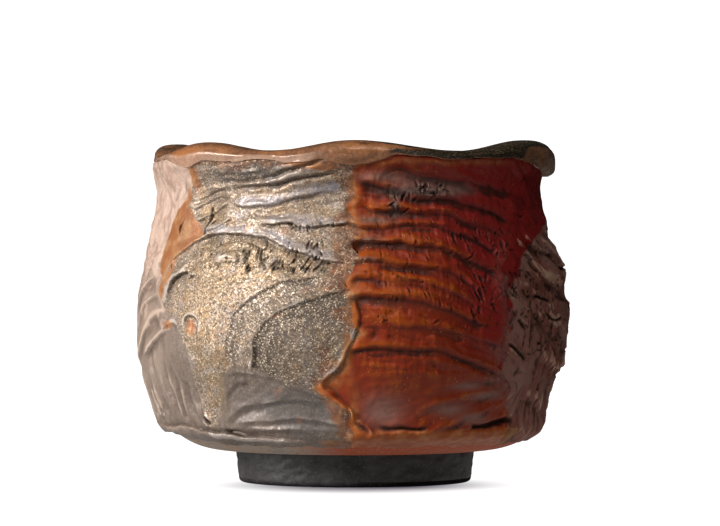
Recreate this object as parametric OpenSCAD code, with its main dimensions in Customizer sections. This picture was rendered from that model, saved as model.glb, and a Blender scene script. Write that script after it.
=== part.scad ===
// Guinomi sake cup: a thrown stoneware bowl on a bare foot ring, with six
// panels of thick slip trowelled round it in curved strokes, and glaze on its
// lip, inside and underside. The foot stands on z = 0, the axis is z, and the
// front of the cup faces -y. Angles are in degrees from the front, positive
// towards +x. Lengths are in millimetres.

/* [Bowl] */
// Height of the rim, half way between its crests and its dips
rim_h = 53.6; // [52:0.1:64]
// Outer radius of the clay at the rim
rim_r = 31.2; // [29.5:0.1:33]
// Height of the waist below the rim
waist_h = 47; // [42:0.5:48]
// Outer radius of the clay at the waist
waist_r = 29.3; // [27:0.1:31]
// Height of the belly
belly_h = 25.5; // [20:0.5:32]
// Outer radius of the clay at the belly
belly_r = 34; // [31:0.1:38]
// Height at which the wall turns under
skirt_h = 9; // [8:0.1:12]
// Outer radius of the clay where the wall turns under
skirt_r = 29.6; // [26:0.1:31]
// Thickness of the clay wall
wall = 3.2; // [2.4:0.1:5]
// Thickness of the clay floor in the middle
floor_t = 4; // [2.5:0.1:7]
// Height at which the inside starts to round in to the floor
knee_h = 24; // [18:0.5:30]

/* [Foot ring] */
// Height of the foot ring
foot_h = 5.6; // [4.5:0.1:7]
// Outer radius of the foot where it meets the bowl
foot_top_r = 19.3; // [16:0.1:23]
// Outer radius of the foot at the ground
foot_base_r = 18.8; // [15.5:0.1:22.5]
// Thickness of the foot's wall
foot_wall = 4.4; // [2.5:0.1:7]
// Rounding of the foot's lower edges
foot_round = 0.7; // [0.2:0.1:1.2]
// Height of the turned cone inside the foot
turned_cone_h = 0.7; // [0.3:0.1:1.2]
// Radius of the turned cone inside the foot
turned_cone_r = 6; // [3:0.5:10]

/* [Slip panels] */
// Thickness of the slip in the hollow of a stroke
slip_t = 0.8; // [0.5:0.1:2]
// Height of a stroke's crest above its hollow
stroke_depth = 0.8; // [0.2:0.1:1.4]
// Width of one stroke on the right panel and the back right panel
stroke_w = 6; // [4:0.5:10]
// Width of one ripple on the front right panel and the back left panel
ripple_w = 2.8; // [2.2:0.1:5]
// Width of one leaf on the left panel
leaf_w = 3.2; // [2.6:0.1:6]
// Height at which the leaves have run out
leaf_top = 44; // [36:0.5:50]
// Width over which a crest falls to the hollow below it
stroke_fall = 0.9; // [0.5:0.1:1.6]
// Width over which the front left panel's strokes run out
stroke_ramp = 3; // [1.5:0.1:6]
// How far below the lower edge the ripples have their centre
swing_far = 40; // [30:1:70]
// How far below the lower edge the strokes of the side panels have their centre
swing_near = 11.6; // [0:0.1:25]
// Height of the top of the arch on the front left panel
arch_h = 39.8; // [37:0.1:43]
// Radius of the arch
arch_r = 41.7; // [36:0.1:60]
// Radius of the outer scoop below the arch, about the panel's lower right corner
scoop_r = 24.8; // [22:0.1:26]
// Distance from the outer scoop in to the inner one
scoop_step = 3.4; // [2:0.1:6]
// Height of the lowest point of the band above the arch
band_h = 44.4; // [43:0.1:46]
// Radius of the band
band_r = 70; // [50:1:120]
// Height of the top of the fan along the lower edge
fan_h = 12; // [10.5:0.1:14]
// Radius of the fan
fan_r = 62; // [40:1:120]
// Extra thickness of the slip along the corners between panels
corner_rise = 0.9; // [0:0.1:2]
// Extra thickness that the slip would have at the rim, where it flares to the lip
slip_flare = 1.6; // [0:0.1:2]
// How much thinner the slip is round the belly
slip_thin = 0.5; // [0:0.1:0.8]
// How far up and down that thin band reaches
thin_reach = 7; // [4:0.5:12]
// Extra thickness of the slip on the left side
left_swell = 0.7; // [0:0.1:1.2]
// How much thinner the slip is below the lip on the right side
right_pinch = 1; // [0:0.1:1.2]
// How far the slip hangs below the place where the wall turns under
slip_overhang = 0.8; // [0.3:0.1:0.9]
// Share of that overhang that is torn away between the tips of the lower edge
slip_tear = 0.4; // [0:0.1:1]
// Gap between coats that lie side by side
seam = 0.1; // [0.05:0.05:0.4]
// Gap between a panel's seat and the clay
seat_gap = 0.08; // [0.05:0.01:0.2]

/* [Lip] */
// Height of the lip's crests above its dips
lip_wave = 1.5; // [0:0.1:2.4]
// How much further the lip reaches out at its crests than at its dips
lip_lobe = 1; // [0:0.1:2]
// How much higher the crests on the right and on the left are
lip_lift = 0.5; // [0:0.1:0.8]
// How far the roll hangs down further on the right
lip_droop = 2; // [0:0.1:2.4]
// Height of the glaze roll on the lip
lip_roll_h = 3; // [2.4:0.1:4.5]
// How far the roll reaches out past the clay at a dip
lip_out = 1; // [0.5:0.1:2]
// How far the roll reaches in past the clay
lip_in = 0.6; // [0.5:0.1:1.2]
// Thickness of the glaze on top of the clay
lip_cover = 0.8; // [0.4:0.1:1.2]

/* [Glaze] */
// Thickness of the glaze inside the cup
lining_t = 0.4; // [0.2:0.05:0.45]
// Thickness of the glaze on the underside
underside_t = 0.4; // [0.2:0.05:0.8]

/* [Hidden] */

// Angles of the corners between panels, at the lip and at the lower edge.
// The first corner is on the left of the front, and they go round to the right.
corners_lip = [-50, 0, 64, 124, 186, 256];
corners_skirt = [-45, -1, 53, 116, 178, 244];
// How far each corner line bows half way up, in degrees
corners_bow = [-11, 0, -15, 5, -5, 5];
// Corner of each panel that its strokes swing round: 0 its left, 1 its right
pivot_side = [1, 0, 0, 1, 0, 1];
// How far below the lower edge the strokes of each panel have their centre
pivot_drop = [0, swing_far, swing_near, 0, swing_far, swing_near];
// Width of one stroke on each panel that has many alike
widths = [stroke_w, ripple_w, stroke_w, stroke_w, ripple_w, leaf_w];
// Panels with ripples have a 1, and so have the corners with raised crests
rippled = [0, 1, 0, 0, 1, 0];
lifted = [0, 0, 1, 0, 0, 1];
// Middle of the left side and of the right side, and the angles over which they fade
left_side = [-93, 40];
right_side = [88, 24];
// Strokes of the front left panel. Each swings about a centre, given by its angle and its
// height, at a radius and between two angles. A radius below 0 has its centre above the stroke.
sweeps = [
    [-31, arch_h - arch_r, arch_r, -63, 4],
    [-1, skirt_h, scoop_r, -40, 2],
    [-1, skirt_h, scoop_r - scoop_step, -31, 4],
    [-27, band_h + band_r, -band_r, -50, 4],
    [-16, fan_h - fan_r, fan_r, -46, 4]
];
// Angle over which such a stroke fades at its ends
sweep_end = 6;

panel_count = len(corners_lip);
full_turn = 360;
// Columns and rows of each panel's grid
columns = [24, 14, 16, 20, 14, 28];
rows = [40, 50, 30, 30, 50, 40];
// Rows of a panel's seat, and the fewest facets across two of them
seat_rows = 10;
seat_columns = 14;
lip_steps = 12;
tears = 1.5;
profile_steps = 24;
underside_steps = 12;
round_steps = 6;
roll_points = 12;
floor_power = 2.6;
corner_power = 3;
fade_power = 8;
turn_facets = 96;
// Radius, well inside the rim, that the rim's cutting solid reaches in to
core_r = foot_base_r - foot_wall;
floor_h = foot_h + floor_t;
rim_top = rim_h + lip_wave / 2 + lip_lift;
// Drop from the lip's top to the lining's, just below where the round roll meets the clay
lining_drop = 0.85 * lip_roll_h + seam;
// Room by which a cutting solid passes the clay that it trims
spare = 4;

function mix(a, b, t) = a + (b - a) * t;
function ease(t) = (1 - cos(180 * t)) / 2;
function polar(r, a, z) = [r * sin(a), -r * cos(a), z];
function clip(t) = max(0, min(1, t));
function total(list, i = 0) = i < len(list) ? list[i] + total(list, i + 1) : 0;

// Share of a side's shape at angle a, 1 in the middle of the side
function beside(a, side) = let (off = (a - side[0] + 3 * full_turn / 2) % full_turn - full_turn / 2)
    exp(-pow(off / side[1], 2));

// Angle of corner k, counting on past a full turn
function corner(list, k) = list[k % panel_count] + full_turn * floor(k / panel_count);

// Outer radius of the clay wall at height z
function clay_r(z) =
    z < belly_h ? mix(skirt_r, belly_r, ease(max(0, (z - skirt_h) / (belly_h - skirt_h)))) :
    z < waist_h ? mix(belly_r, waist_r, ease((z - belly_h) / (waist_h - belly_h))) :
    mix(waist_r, rim_r, 1 - cos(90 * min(1, (z - waist_h) / (rim_h - waist_h))));

// Height of the clay's underside at radius r, from the foot out to the skirt
function underside_z(r) =
    foot_h + (skirt_h - foot_h) * pow((r - foot_top_r) / (skirt_r - foot_top_r), 2);

// Radius of the hollow at height z, with a coat of thickness t on its wall and floor
function hollow_r(z, t) =
    (clay_r(z) - wall - t)
    * (z >= knee_h ? 1 : pow(1 - pow((knee_h - z) / (knee_h - floor_h - t), floor_power), 1 / floor_power));

// Points of the hollow's half outline, from the middle of its floor up to height top
function hollow_line(t, top) = [
    for (i = [0 : profile_steps])
        let (z = mix(floor_h + t, knee_h, 1 - cos(90 * i / profile_steps))) [hollow_r(z, t), z],
    for (i = [1 : profile_steps])
        let (z = mix(knee_h, top, i / profile_steps)) [hollow_r(z, t), z]
];

// Points of the clay's outer half outline, from the foot's edge up to height top
function outer_line(top) = [
    for (i = [0 : underside_steps])
        let (r = mix(foot_top_r, skirt_r, i / underside_steps)) [r, underside_z(r)],
    for (i = [1 : 2 * profile_steps])
        let (z = mix(skirt_h, top, i / (2 * profile_steps))) [clay_r(z), z]
];

// Share of a crest, 1 at a corner and 0 half way along a panel, at place u across it
function crest(u) = (1 + cos(full_turn * u)) / 2;
function rim_z(k, u) = rim_h + lip_wave * (crest(u) - 1 / 2)
    + lip_lift * crest(u) * lifted[(u < 1 / 2 ? k : k + 1) % panel_count];
function lip_r(u) = rim_r + lip_out + lip_lobe * crest(u);
// Angle on the rim at place u across panel k, and how far the lip's roll hangs down further there
function rim_a(k, u) = mix(corner(corners_lip, k), corner(corners_lip, k + 1), u);
function droop(k, u) = lip_droop * beside(rim_a(k, u), right_side);

// Share of a crest at distance d from the pivot, where many strokes are alike: each crest
// falls sharply to the hollow below it
function strokes(k, d) = let (
        p = d / widths[k] - floor(d / widths[k]),
        rest = 1 - stroke_fall / widths[k])
    p < rest ? 1 - p / rest : (p - rest) / (1 - rest);

// Lift of the slip at distance d above one stroke: 1 on its crest, -1 in its hollow
function knife(d) =
    d > 0 ? pow(max(0, 1 - d / stroke_ramp), 2) :
    d > -stroke_fall ? 1 + 2 * d / stroke_fall :
    -pow(max(0, 1 + (d + stroke_fall) / stroke_ramp), 2);
// Distance above stroke s at angle a and height z
function sweep_d(s, a, z) = let (d = norm([(a - s[0]) * PI / 180 * clay_r(z), z - s[1]]))
    (s[2] > 0 ? d : -d) - s[2];
// Share of a crest on the front left panel
function swept(a, z) = clip(1 / 2 + 1 / 2 * total([for (s = sweeps) knife(sweep_d(s, a, z))
    * ease(clip((a - s[3]) / sweep_end)) * ease(clip((s[4] - a) / sweep_end))]));

// How far a row of panel k sags at place u, so that rows follow the ripples
function row_sag(k, u) = rippled[k] == 0 ? 0 : let (
        swing_r = pivot_drop[k] + (rim_h - skirt_h) / 2,
        across = abs(u - pivot_side[k]) * panel_w(k))
    swing_r - sqrt(swing_r * swing_r - across * across);
function panel_w(k) = belly_r * (corner(corners_skirt, k + 1) - corner(corners_skirt, k)) * PI / 180;

// Share of a panel's height that row v of panel k is at, at place u across it
function climb(k, u, v) = v - row_sag(k, u) * sin(180 * v) / (rim_h - skirt_h);

// Height of the slip's surface there
function slip_z(k, u, v) = mix(
    skirt_h - slip_overhang * (1 - slip_tear * abs(sin(full_turn * tears * u))),
    rim_z(k, u) - lip_roll_h - droop(k, u) - seam, climb(k, u, v));
// Angle there
function slip_a(k, u, v) = let (h = climb(k, u, v)) mix(
        mix(corner(corners_skirt, k), corner(corners_skirt, k + 1), u),
        mix(corner(corners_lip, k), corner(corners_lip, k + 1), u), h)
    + 4 * h * (1 - h) * mix(corners_bow[k], corners_bow[(k + 1) % panel_count], u);
// Distance over the surface from the panel's pivot, at the foot of one corner
function pivot_d(k, u, v) = let (
        z = slip_z(k, u, v),
        across = abs(slip_a(k, u, v) - slip_a(k, pivot_side[k], v)) * PI / 180 * clay_r(z))
    norm([across, z - skirt_h + pivot_drop[k]]);
// Share of a stroke's crest there
function stroke_share(k, u, v) = let (z = slip_z(k, u, v), many = strokes(k, pivot_d(k, u, v)))
    k == 0 ? swept(slip_a(k, u, v), z) :
    k == panel_count - 1 ? mix(1 / 2, many, ease(clip((leaf_top - z) / (2 * leaf_w)))) :
    many;
// How far the coat's broad unevenness lifts the slip at angle a and height z
function uneven(a, z) = left_swell * beside(a, left_side)
    - right_pinch * beside(a, right_side) * ease(clip((z - waist_h) / lip_roll_h + 1))
    - slip_thin * exp(-pow((z - belly_h) / thin_reach, 2));
function slip_r(k, u, v) = let (z = slip_z(k, u, v)) clay_r(z) + max(slip_t / 2, slip_t
    + uneven(slip_a(k, u, v), z)
    + slip_flare * ease(clip((z - waist_h) / (rim_h - waist_h)))
    + corner_rise * pow(abs(2 * u - 1), corner_power)
    + stroke_depth * stroke_share(k, u, v) * (1 - pow(abs(2 * u - 1), fade_power)));

// Radius of the slip's seat on the clay, far enough out that its flat facets clear the clay
function seat_r(k, z) =
    clay_r(z) / cos((corner(corners_skirt, k + 1) - corner(corners_skirt, k)) / seat_columns) + seat_gap;

// Closed block between a fine grid of surface points and a coarse grid behind it. Each
// list of points goes up a column, and the columns go from left to right.
module block(front, back) {
    nu = len(front) - 1;
    nv = len(front[0]) - 1;
    mu = len(back) - 1;
    mv = len(back[0]) - 1;
    first = (nu + 1) * (nv + 1);
    function fine(i, j) = i * (nv + 1) + j;
    function coarse(i, j) = first + i * (mv + 1) + j;
    // Triangles between an edge of the front and the same edge of the back
    function wall_faces(a, b) = let (ratio = (len(a) - 1) / (len(b) - 1)) [
        for (q = [0 : len(b) - 2]) each concat(
            [for (s = [q * ratio : (q + 1) * ratio - 1]) [a[s], a[s + 1], b[q]]],
            [[a[(q + 1) * ratio], b[q + 1], b[q]]])
    ];
    polyhedron(
        points = concat([for (column = front) each column], [for (column = back) each column]),
        faces = concat(
            [for (i = [0 : nu - 1], j = [0 : nv - 1]) each
                [[fine(i, j), fine(i + 1, j + 1), fine(i + 1, j)],
                 [fine(i, j), fine(i, j + 1), fine(i + 1, j + 1)]]],
            [for (i = [0 : mu - 1], j = [0 : mv - 1]) each
                [[coarse(i, j), coarse(i + 1, j), coarse(i + 1, j + 1)],
                 [coarse(i, j), coarse(i + 1, j + 1), coarse(i, j + 1)]]],
            wall_faces([for (i = [0 : nu]) fine(i, 0)], [for (i = [0 : mu]) coarse(i, 0)]),
            wall_faces([for (j = [0 : nv]) fine(nu, j)], [for (j = [0 : mv]) coarse(mu, j)]),
            wall_faces([for (i = [nu : -1 : 0]) fine(i, nv)], [for (i = [mu : -1 : 0]) coarse(i, mv)]),
            wall_faces([for (j = [nv : -1 : 0]) fine(0, j)], [for (j = [mv : -1 : 0]) coarse(0, j)])
        )
    );
}

// Closed ring through cross sections, each a list of points that goes round it
// with the outside of the ring first, then its top
module ring(sections) {
    n = len(sections);
    m = len(sections[0]);
    function at(i, j) = (i % n) * m + j % m;
    polyhedron(
        points = [for (section = sections) each section],
        faces = [for (i = [0 : n - 1], j = [0 : m - 1]) each
            [[at(i, j), at(i + 1, j + 1), at(i + 1, j)], [at(i, j), at(i, j + 1), at(i + 1, j + 1)]]]
    );
}

// Everything more than drop below the lip's wavy top is left by taking this away
module above_wave(drop) {
    far = rim_r + lip_out + lip_lobe + spare;
    ring([for (k = [0 : panel_count - 1], i = [0 : lip_steps - 1])
        let (u = i / lip_steps, a = rim_a(k, u), z = rim_z(k, u) - drop)
        [polar(far, a, z), polar(far, a, rim_top + spare),
         polar(core_r, a, rim_top + spare), polar(core_r, a, z)]]);
}

module clay_bowl() {
    color("dimgray")
    difference() {
        rotate_extrude($fn = turn_facets)
            polygon(concat(
                [[0, foot_h - turned_cone_h], [turned_cone_r, foot_h]],
                outer_line(rim_top),
                [for (i = [2 * profile_steps : -1 : 0]) hollow_line(0, rim_top)[i]]
            ));
        above_wave(lip_cover);
    }
}

module foot_ring() {
    inner_r = foot_base_r - foot_wall;
    color("#3a3635")
    rotate_extrude($fn = turn_facets)
        polygon(concat(
            [for (i = [round_steps : -1 : 0]) let (a = 90 * i / round_steps)
                [inner_r + foot_round * (1 - sin(a)), foot_round * (1 - cos(a))]],
            [for (i = [0 : round_steps]) let (a = 90 * i / round_steps)
                [foot_base_r - foot_round * (1 - sin(a)), foot_round * (1 - cos(a))]],
            [[foot_top_r, foot_h], [inner_r, foot_h]]
        ));
}

// One trowelled panel, between corners k and k + 1
module slip_panel(k) {
    edge = seam / 2 / panel_w(k);
    nu = columns[k];
    nv = rows[k];
    mu = nu / 2;
    function place(i, n) = mix(edge, 1 - edge, i / n);
    block(
        [for (i = [0 : nu]) let (u = place(i, nu)) [for (j = [0 : nv]) let (v = j / nv)
            polar(slip_r(k, u, v), slip_a(k, u, v), slip_z(k, u, v))]],
        [for (i = [0 : mu]) let (u = place(i, mu)) [for (j = [0 : seat_rows])
            let (v = j / seat_rows, z = slip_z(k, u, v))
            polar(seat_r(k, z), slip_a(k, u, v), z)]]
    );
}

module slip_panel_front_left() { color("#9c8f80") slip_panel(0); }
module slip_panel_front_right() { color("#8a3413") slip_panel(1); }
module slip_panel_right() { color("#4b3630") slip_panel(2); }
module slip_panel_back_right() { color("#94806a") slip_panel(3); }
module slip_panel_back_left() { color("#84391a") slip_panel(4); }
module slip_panel_left() { color("#b08f78") slip_panel(5); }

module lip_glaze() {
    inside = clay_r(rim_h - lip_roll_h / 2) - wall - lip_in;
    color("#8b5f3f")
    difference() {
        ring([for (k = [0 : panel_count - 1], i = [0 : lip_steps - 1])
            let (
                u = i / lip_steps,
                half_w = (lip_r(u) - inside) / 2,
                half_h = lip_roll_h / 2)
            [for (j = [0 : roll_points - 1]) let (
                    t = full_turn * j / roll_points,
                    hang = cos(t) > 0 ? max(0, -sin(2 * t)) : 0)
                polar(inside + half_w * (1 + cos(t)), rim_a(k, u),
                    rim_z(k, u) + half_h * (sin(t) - 1) - hang * droop(k, u))]]);
        clay_bowl();
    }
}

module lining_glaze() {
    color("#6d4a33")
    difference() {
        rotate_extrude($fn = turn_facets)
            polygon(concat(
                hollow_line(0, rim_top),
                [for (i = [2 * profile_steps : -1 : 0]) hollow_line(lining_t, rim_top)[i]]
            ));
        above_wave(lining_drop);
    }
}

module underside_glaze() {
    edge_r = skirt_r - seam;
    radii = [for (i = [0 : underside_steps]) mix(foot_top_r + seam, edge_r, i / underside_steps)];
    color("#7d6450")
    rotate_extrude($fn = turn_facets)
        polygon(concat(
            [for (r = radii) [r, underside_z(r) - underside_t]],
            [for (i = [underside_steps : -1 : 0]) [radii[i], underside_z(radii[i])]]
        ));
}

clay_bowl();
foot_ring();
slip_panel_front_left();
slip_panel_front_right();
slip_panel_right();
slip_panel_back_right();
slip_panel_back_left();
slip_panel_left();
lip_glaze();
lining_glaze();
underside_glaze();
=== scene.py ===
"""Guinomi sake cup: stroked slip panels, rolled lip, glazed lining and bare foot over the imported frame."""
import logging
import math
from collections.abc import Iterator
from contextlib import contextmanager
from dataclasses import dataclass, field
from enum import Enum

import bpy
import numpy as np
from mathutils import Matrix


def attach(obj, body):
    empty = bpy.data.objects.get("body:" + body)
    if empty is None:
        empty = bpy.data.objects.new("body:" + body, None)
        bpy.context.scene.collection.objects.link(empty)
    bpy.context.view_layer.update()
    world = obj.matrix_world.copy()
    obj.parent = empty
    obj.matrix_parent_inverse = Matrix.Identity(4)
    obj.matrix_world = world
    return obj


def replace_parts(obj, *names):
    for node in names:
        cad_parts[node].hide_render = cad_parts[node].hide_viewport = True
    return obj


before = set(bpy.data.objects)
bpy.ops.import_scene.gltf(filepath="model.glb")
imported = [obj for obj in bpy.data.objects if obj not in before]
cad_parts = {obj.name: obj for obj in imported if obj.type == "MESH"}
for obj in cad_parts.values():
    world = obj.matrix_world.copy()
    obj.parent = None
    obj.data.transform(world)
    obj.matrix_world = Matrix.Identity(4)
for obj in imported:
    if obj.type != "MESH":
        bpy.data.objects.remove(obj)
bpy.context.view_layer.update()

LOG = logging.getLogger("sake_cup")
MM = 0.001
COAT = 0.4
Span = tuple[float, float]
Path = tuple[Span, ...]
Spot = tuple[float, float, float, float]
Point = tuple[float, float, float]
Colour = tuple[float, float, float]
TAUPE: Colour = (0.150, 0.110, 0.087)
RUST: Colour = (0.27, 0.100, 0.035)
RUST_PALE: Colour = (0.36, 0.18, 0.08)
WHITE: Colour = (1.0, 1.0, 1.0)


def ease(low: float, high: float, value: np.ndarray) -> np.ndarray:
    """Step smoothly from 0 to 1 between two limits.

    Args:
        low: value at which the step starts.
        high: value at which the step ends; may be below low.
        value: numbers to pass through the step.

    Returns:
        Numbers from 0 to 1.
    """
    t = np.clip((np.asarray(value, dtype=float) - low) / (high - low), 0.0, 1.0)
    return t * t * (3.0 - 2.0 * t)


def hump(value: np.ndarray, centre: float, width: float) -> np.ndarray:
    """Give a soft hump that is 1 at its centre and falls off over a width."""
    return np.exp(-(((value - centre) / width) ** 2))


def around(a: np.ndarray) -> np.ndarray:
    """Bring angles into the turn from -180 to 180."""
    return (a + 180) % 360 - 180


def mix(a: np.ndarray, b: np.ndarray, share: np.ndarray) -> np.ndarray:
    """Pass from a to b by a share from 0 to 1."""
    return a * (1 - share) + b * share


def follow(path: Path, value: np.ndarray) -> np.ndarray:
    """Give a path's second number where its first is value."""
    return np.interp(value, *zip(*path))


@dataclass
class CupForm:
    """Main sizes of the cup in millimetres and degrees from the front, as in the part's source."""

    rim_h: float = 53.6
    rim_r: float = 31.2
    waist_h: float = 47.0
    waist_r: float = 29.3
    belly_h: float = 25.5
    belly_r: float = 34.0
    skirt_h: float = 9.0
    skirt_r: float = 29.6
    wall: float = 3.2
    floor_h: float = 9.6
    knee_h: float = 24.0
    foot_h: float = 5.6
    foot_top_r: float = 19.3
    foot_base_r: float = 18.8
    foot_wall: float = 4.4
    lip_wave: float = 1.5
    lip_lobe: float = 1.0
    lip_lift: float = 0.5
    lip_roll_h: float = 3.0
    lip_out: float = 1.0
    lip_in: float = 0.6
    lip_edge: Path = (
        (-180, 51.0), (-125, 51.2), (-104, 51.2), (-84, 51.4), (-67, 51.7), (-57, 50.3), (-51, 50.6),
        (-46, 51.6), (-34, 51.0), (-26, 51.3), (-19, 51.0), (-10, 51.2), (-1, 50.2), (6, 50.8), (11, 51.8),
        (26, 51.5), (40, 51.7), (54, 51.6), (64, 50.4), (76, 49.5), (88, 49.4), (110, 50.6), (140, 51.2),
        (180, 51.0))
    corners_lip: tuple[float, ...] = (-50, 0, 64, 124, 186, 256)
    corners_skirt: tuple[float, ...] = (-45, -1, 53, 116, 178, 244)
    corners_bow: tuple[float, ...] = (-11, 0, -15, 5, -5, 5)
    corners_lifted: tuple[int, ...] = (0, 0, 1, 0, 0, 1)

    def clay_r(self, z: np.ndarray) -> np.ndarray:
        """Give the clay wall's outer radius at each height z."""
        z = np.asarray(z, dtype=float)

        def swell(a: float, b: float, t: np.ndarray) -> np.ndarray:
            """Pass from a to b along a half wave."""
            return a + (b - a) * (1 - np.cos(np.pi * np.clip(t, 0, 1))) / 2

        low = swell(self.skirt_r, self.belly_r, (z - self.skirt_h) / (self.belly_h - self.skirt_h))
        mid = swell(self.belly_r, self.waist_r, (z - self.belly_h) / (self.waist_h - self.belly_h))
        t = np.clip((z - self.waist_h) / (self.rim_h - self.waist_h), 0, 1)
        top = self.waist_r + (self.rim_r - self.waist_r) * (1 - np.cos(np.pi / 2 * t))
        return np.where(z < self.belly_h, low, np.where(z < self.waist_h, mid, top))

    def underside_r(self, z: np.ndarray) -> np.ndarray:
        """Give the radius at which the underside reaches each height z."""
        share = np.clip((np.asarray(z, dtype=float) - self.foot_h) / (self.skirt_h - self.foot_h), 0, 1)
        return self.foot_top_r + (self.skirt_r - self.foot_top_r) * np.sqrt(share)

    def across(self, a: np.ndarray) -> tuple[np.ndarray, np.ndarray]:
        """Give the number of the panel under each angle a on the rim, and the share across it."""
        turned = (np.asarray(a, dtype=float) - self.corners_lip[0]) % 360 + self.corners_lip[0]
        lines = np.array([*self.corners_lip, self.corners_lip[0] + 360])
        k = np.clip(np.searchsorted(lines, turned, side="right") - 1, 0, len(lines) - 2)
        return k, (turned - lines[k]) / (lines[k + 1] - lines[k])

    def crest(self, a: np.ndarray) -> np.ndarray:
        """Give the share of a lip crest, 1 at a corner and 0 half way between two, at each angle a."""
        return (1 + np.cos(2 * np.pi * self.across(a)[1])) / 2

    def rim_z(self, a: np.ndarray) -> np.ndarray:
        """Give the height of the lip's top at each angle a."""
        k, share = self.across(a)
        lifted = np.array(self.corners_lifted)[(k + (share >= 0.5)) % len(self.corners_lifted)]
        return self.rim_h + self.lip_wave * (self.crest(a) - 0.5) + self.lip_lift * self.crest(a) * lifted

    def lip_r(self, a: np.ndarray) -> np.ndarray:
        """Give the lip's outer radius at each angle a."""
        return self.rim_r + self.lip_out - 0.1 + self.lip_lobe * self.crest(a)

    def hem_z(self, a: np.ndarray) -> np.ndarray:
        """Give the height of the lip's lower edge at each angle a."""
        return follow(self.lip_edge, around(np.asarray(a, dtype=float)))

    def corner_line(self, k: int, h: np.ndarray) -> np.ndarray:
        """Give the angle of corner line k at each share h of the panels' height.

        Args:
            k: number of the corner; one past the last is the first again, a full turn on.
            h: shares of the height, 0 at the lower edge and 1 at the lip.

        Returns:
            Angles in degrees from the front.
        """
        turn, i = divmod(k, len(self.corners_lip))
        line = self.corners_skirt[i] + (self.corners_lip[i] - self.corners_skirt[i]) * h
        return line + 4 * h * (1 - h) * self.corners_bow[i] + 360 * turn


class MarkKind(Enum):
    """What a knife leaves in the slip."""

    STEP = "a crest that drops sharply on its right-hand side"
    GROOVE = "a furrow with raised shoulders"


@dataclass(frozen=True)
class KnifeMark:
    """One mark in the slip: its path in degrees and millimetres, and its cross section in millimetres.

    The upper side of a step rises over ramp to its crest, and the lower side drops over width into a hollow.
    Polish is how smooth the blade left the slip beside the mark, with a pale lavender that is partly a
    painted highlight; groove_shade is how dark the line of painted shade at its bottom is, and tone how far
    painted shade, over some darker sand, darkens the glaze along trail past its edge.
    """

    kind: MarkKind
    path: Path
    rise: float
    ramp: float
    depth: float
    width: float
    taper: float = 0.18
    polish: float = 0.0
    groove_shade: float = 0.0
    trail: float = 0.0
    tone: float = 0.0

    def fade(self, along: np.ndarray) -> np.ndarray:
        """Give the share of the mark that is left near its ends."""
        return ease(0, self.taper, along) * ease(1, 1 - self.taper, along)

    def height(self, d: np.ndarray) -> np.ndarray:
        """Give the mark's height at each distance d from the path, positive on its left."""
        if self.kind is MarkKind.GROOVE:
            shoulder = np.exp(-((np.abs(d) - 1.6 * self.width) / self.ramp) ** 2)
            return self.rise * shoulder - self.depth * np.exp(-((d / self.width) ** 2))
        crest = np.where(d > 0, np.exp(-np.maximum(d, 0) / self.ramp), np.clip(1 + d / self.width, 0, 1))
        past = np.maximum(-d - self.width, 0) / (self.trail or 1.6 * self.ramp)
        hollow = np.clip(-d / self.width, 0, 1) * np.exp(-past)
        return self.rise * crest - self.depth * hollow

    def shade(self, d: np.ndarray) -> np.ndarray:
        """Give the line of painted shade at the bottom of the mark."""
        low = 0.0 if self.kind is MarkKind.GROOVE else -self.width
        return self.groove_shade * hump(d, low, 0.3)


@dataclass(frozen=True)
class CrackField:
    """A patch of short drying cracks."""

    angles: Span
    heights: Span
    count: int
    length: Span
    width: float
    depth: float
    lean: float
    spread: float
    seed: int


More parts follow.
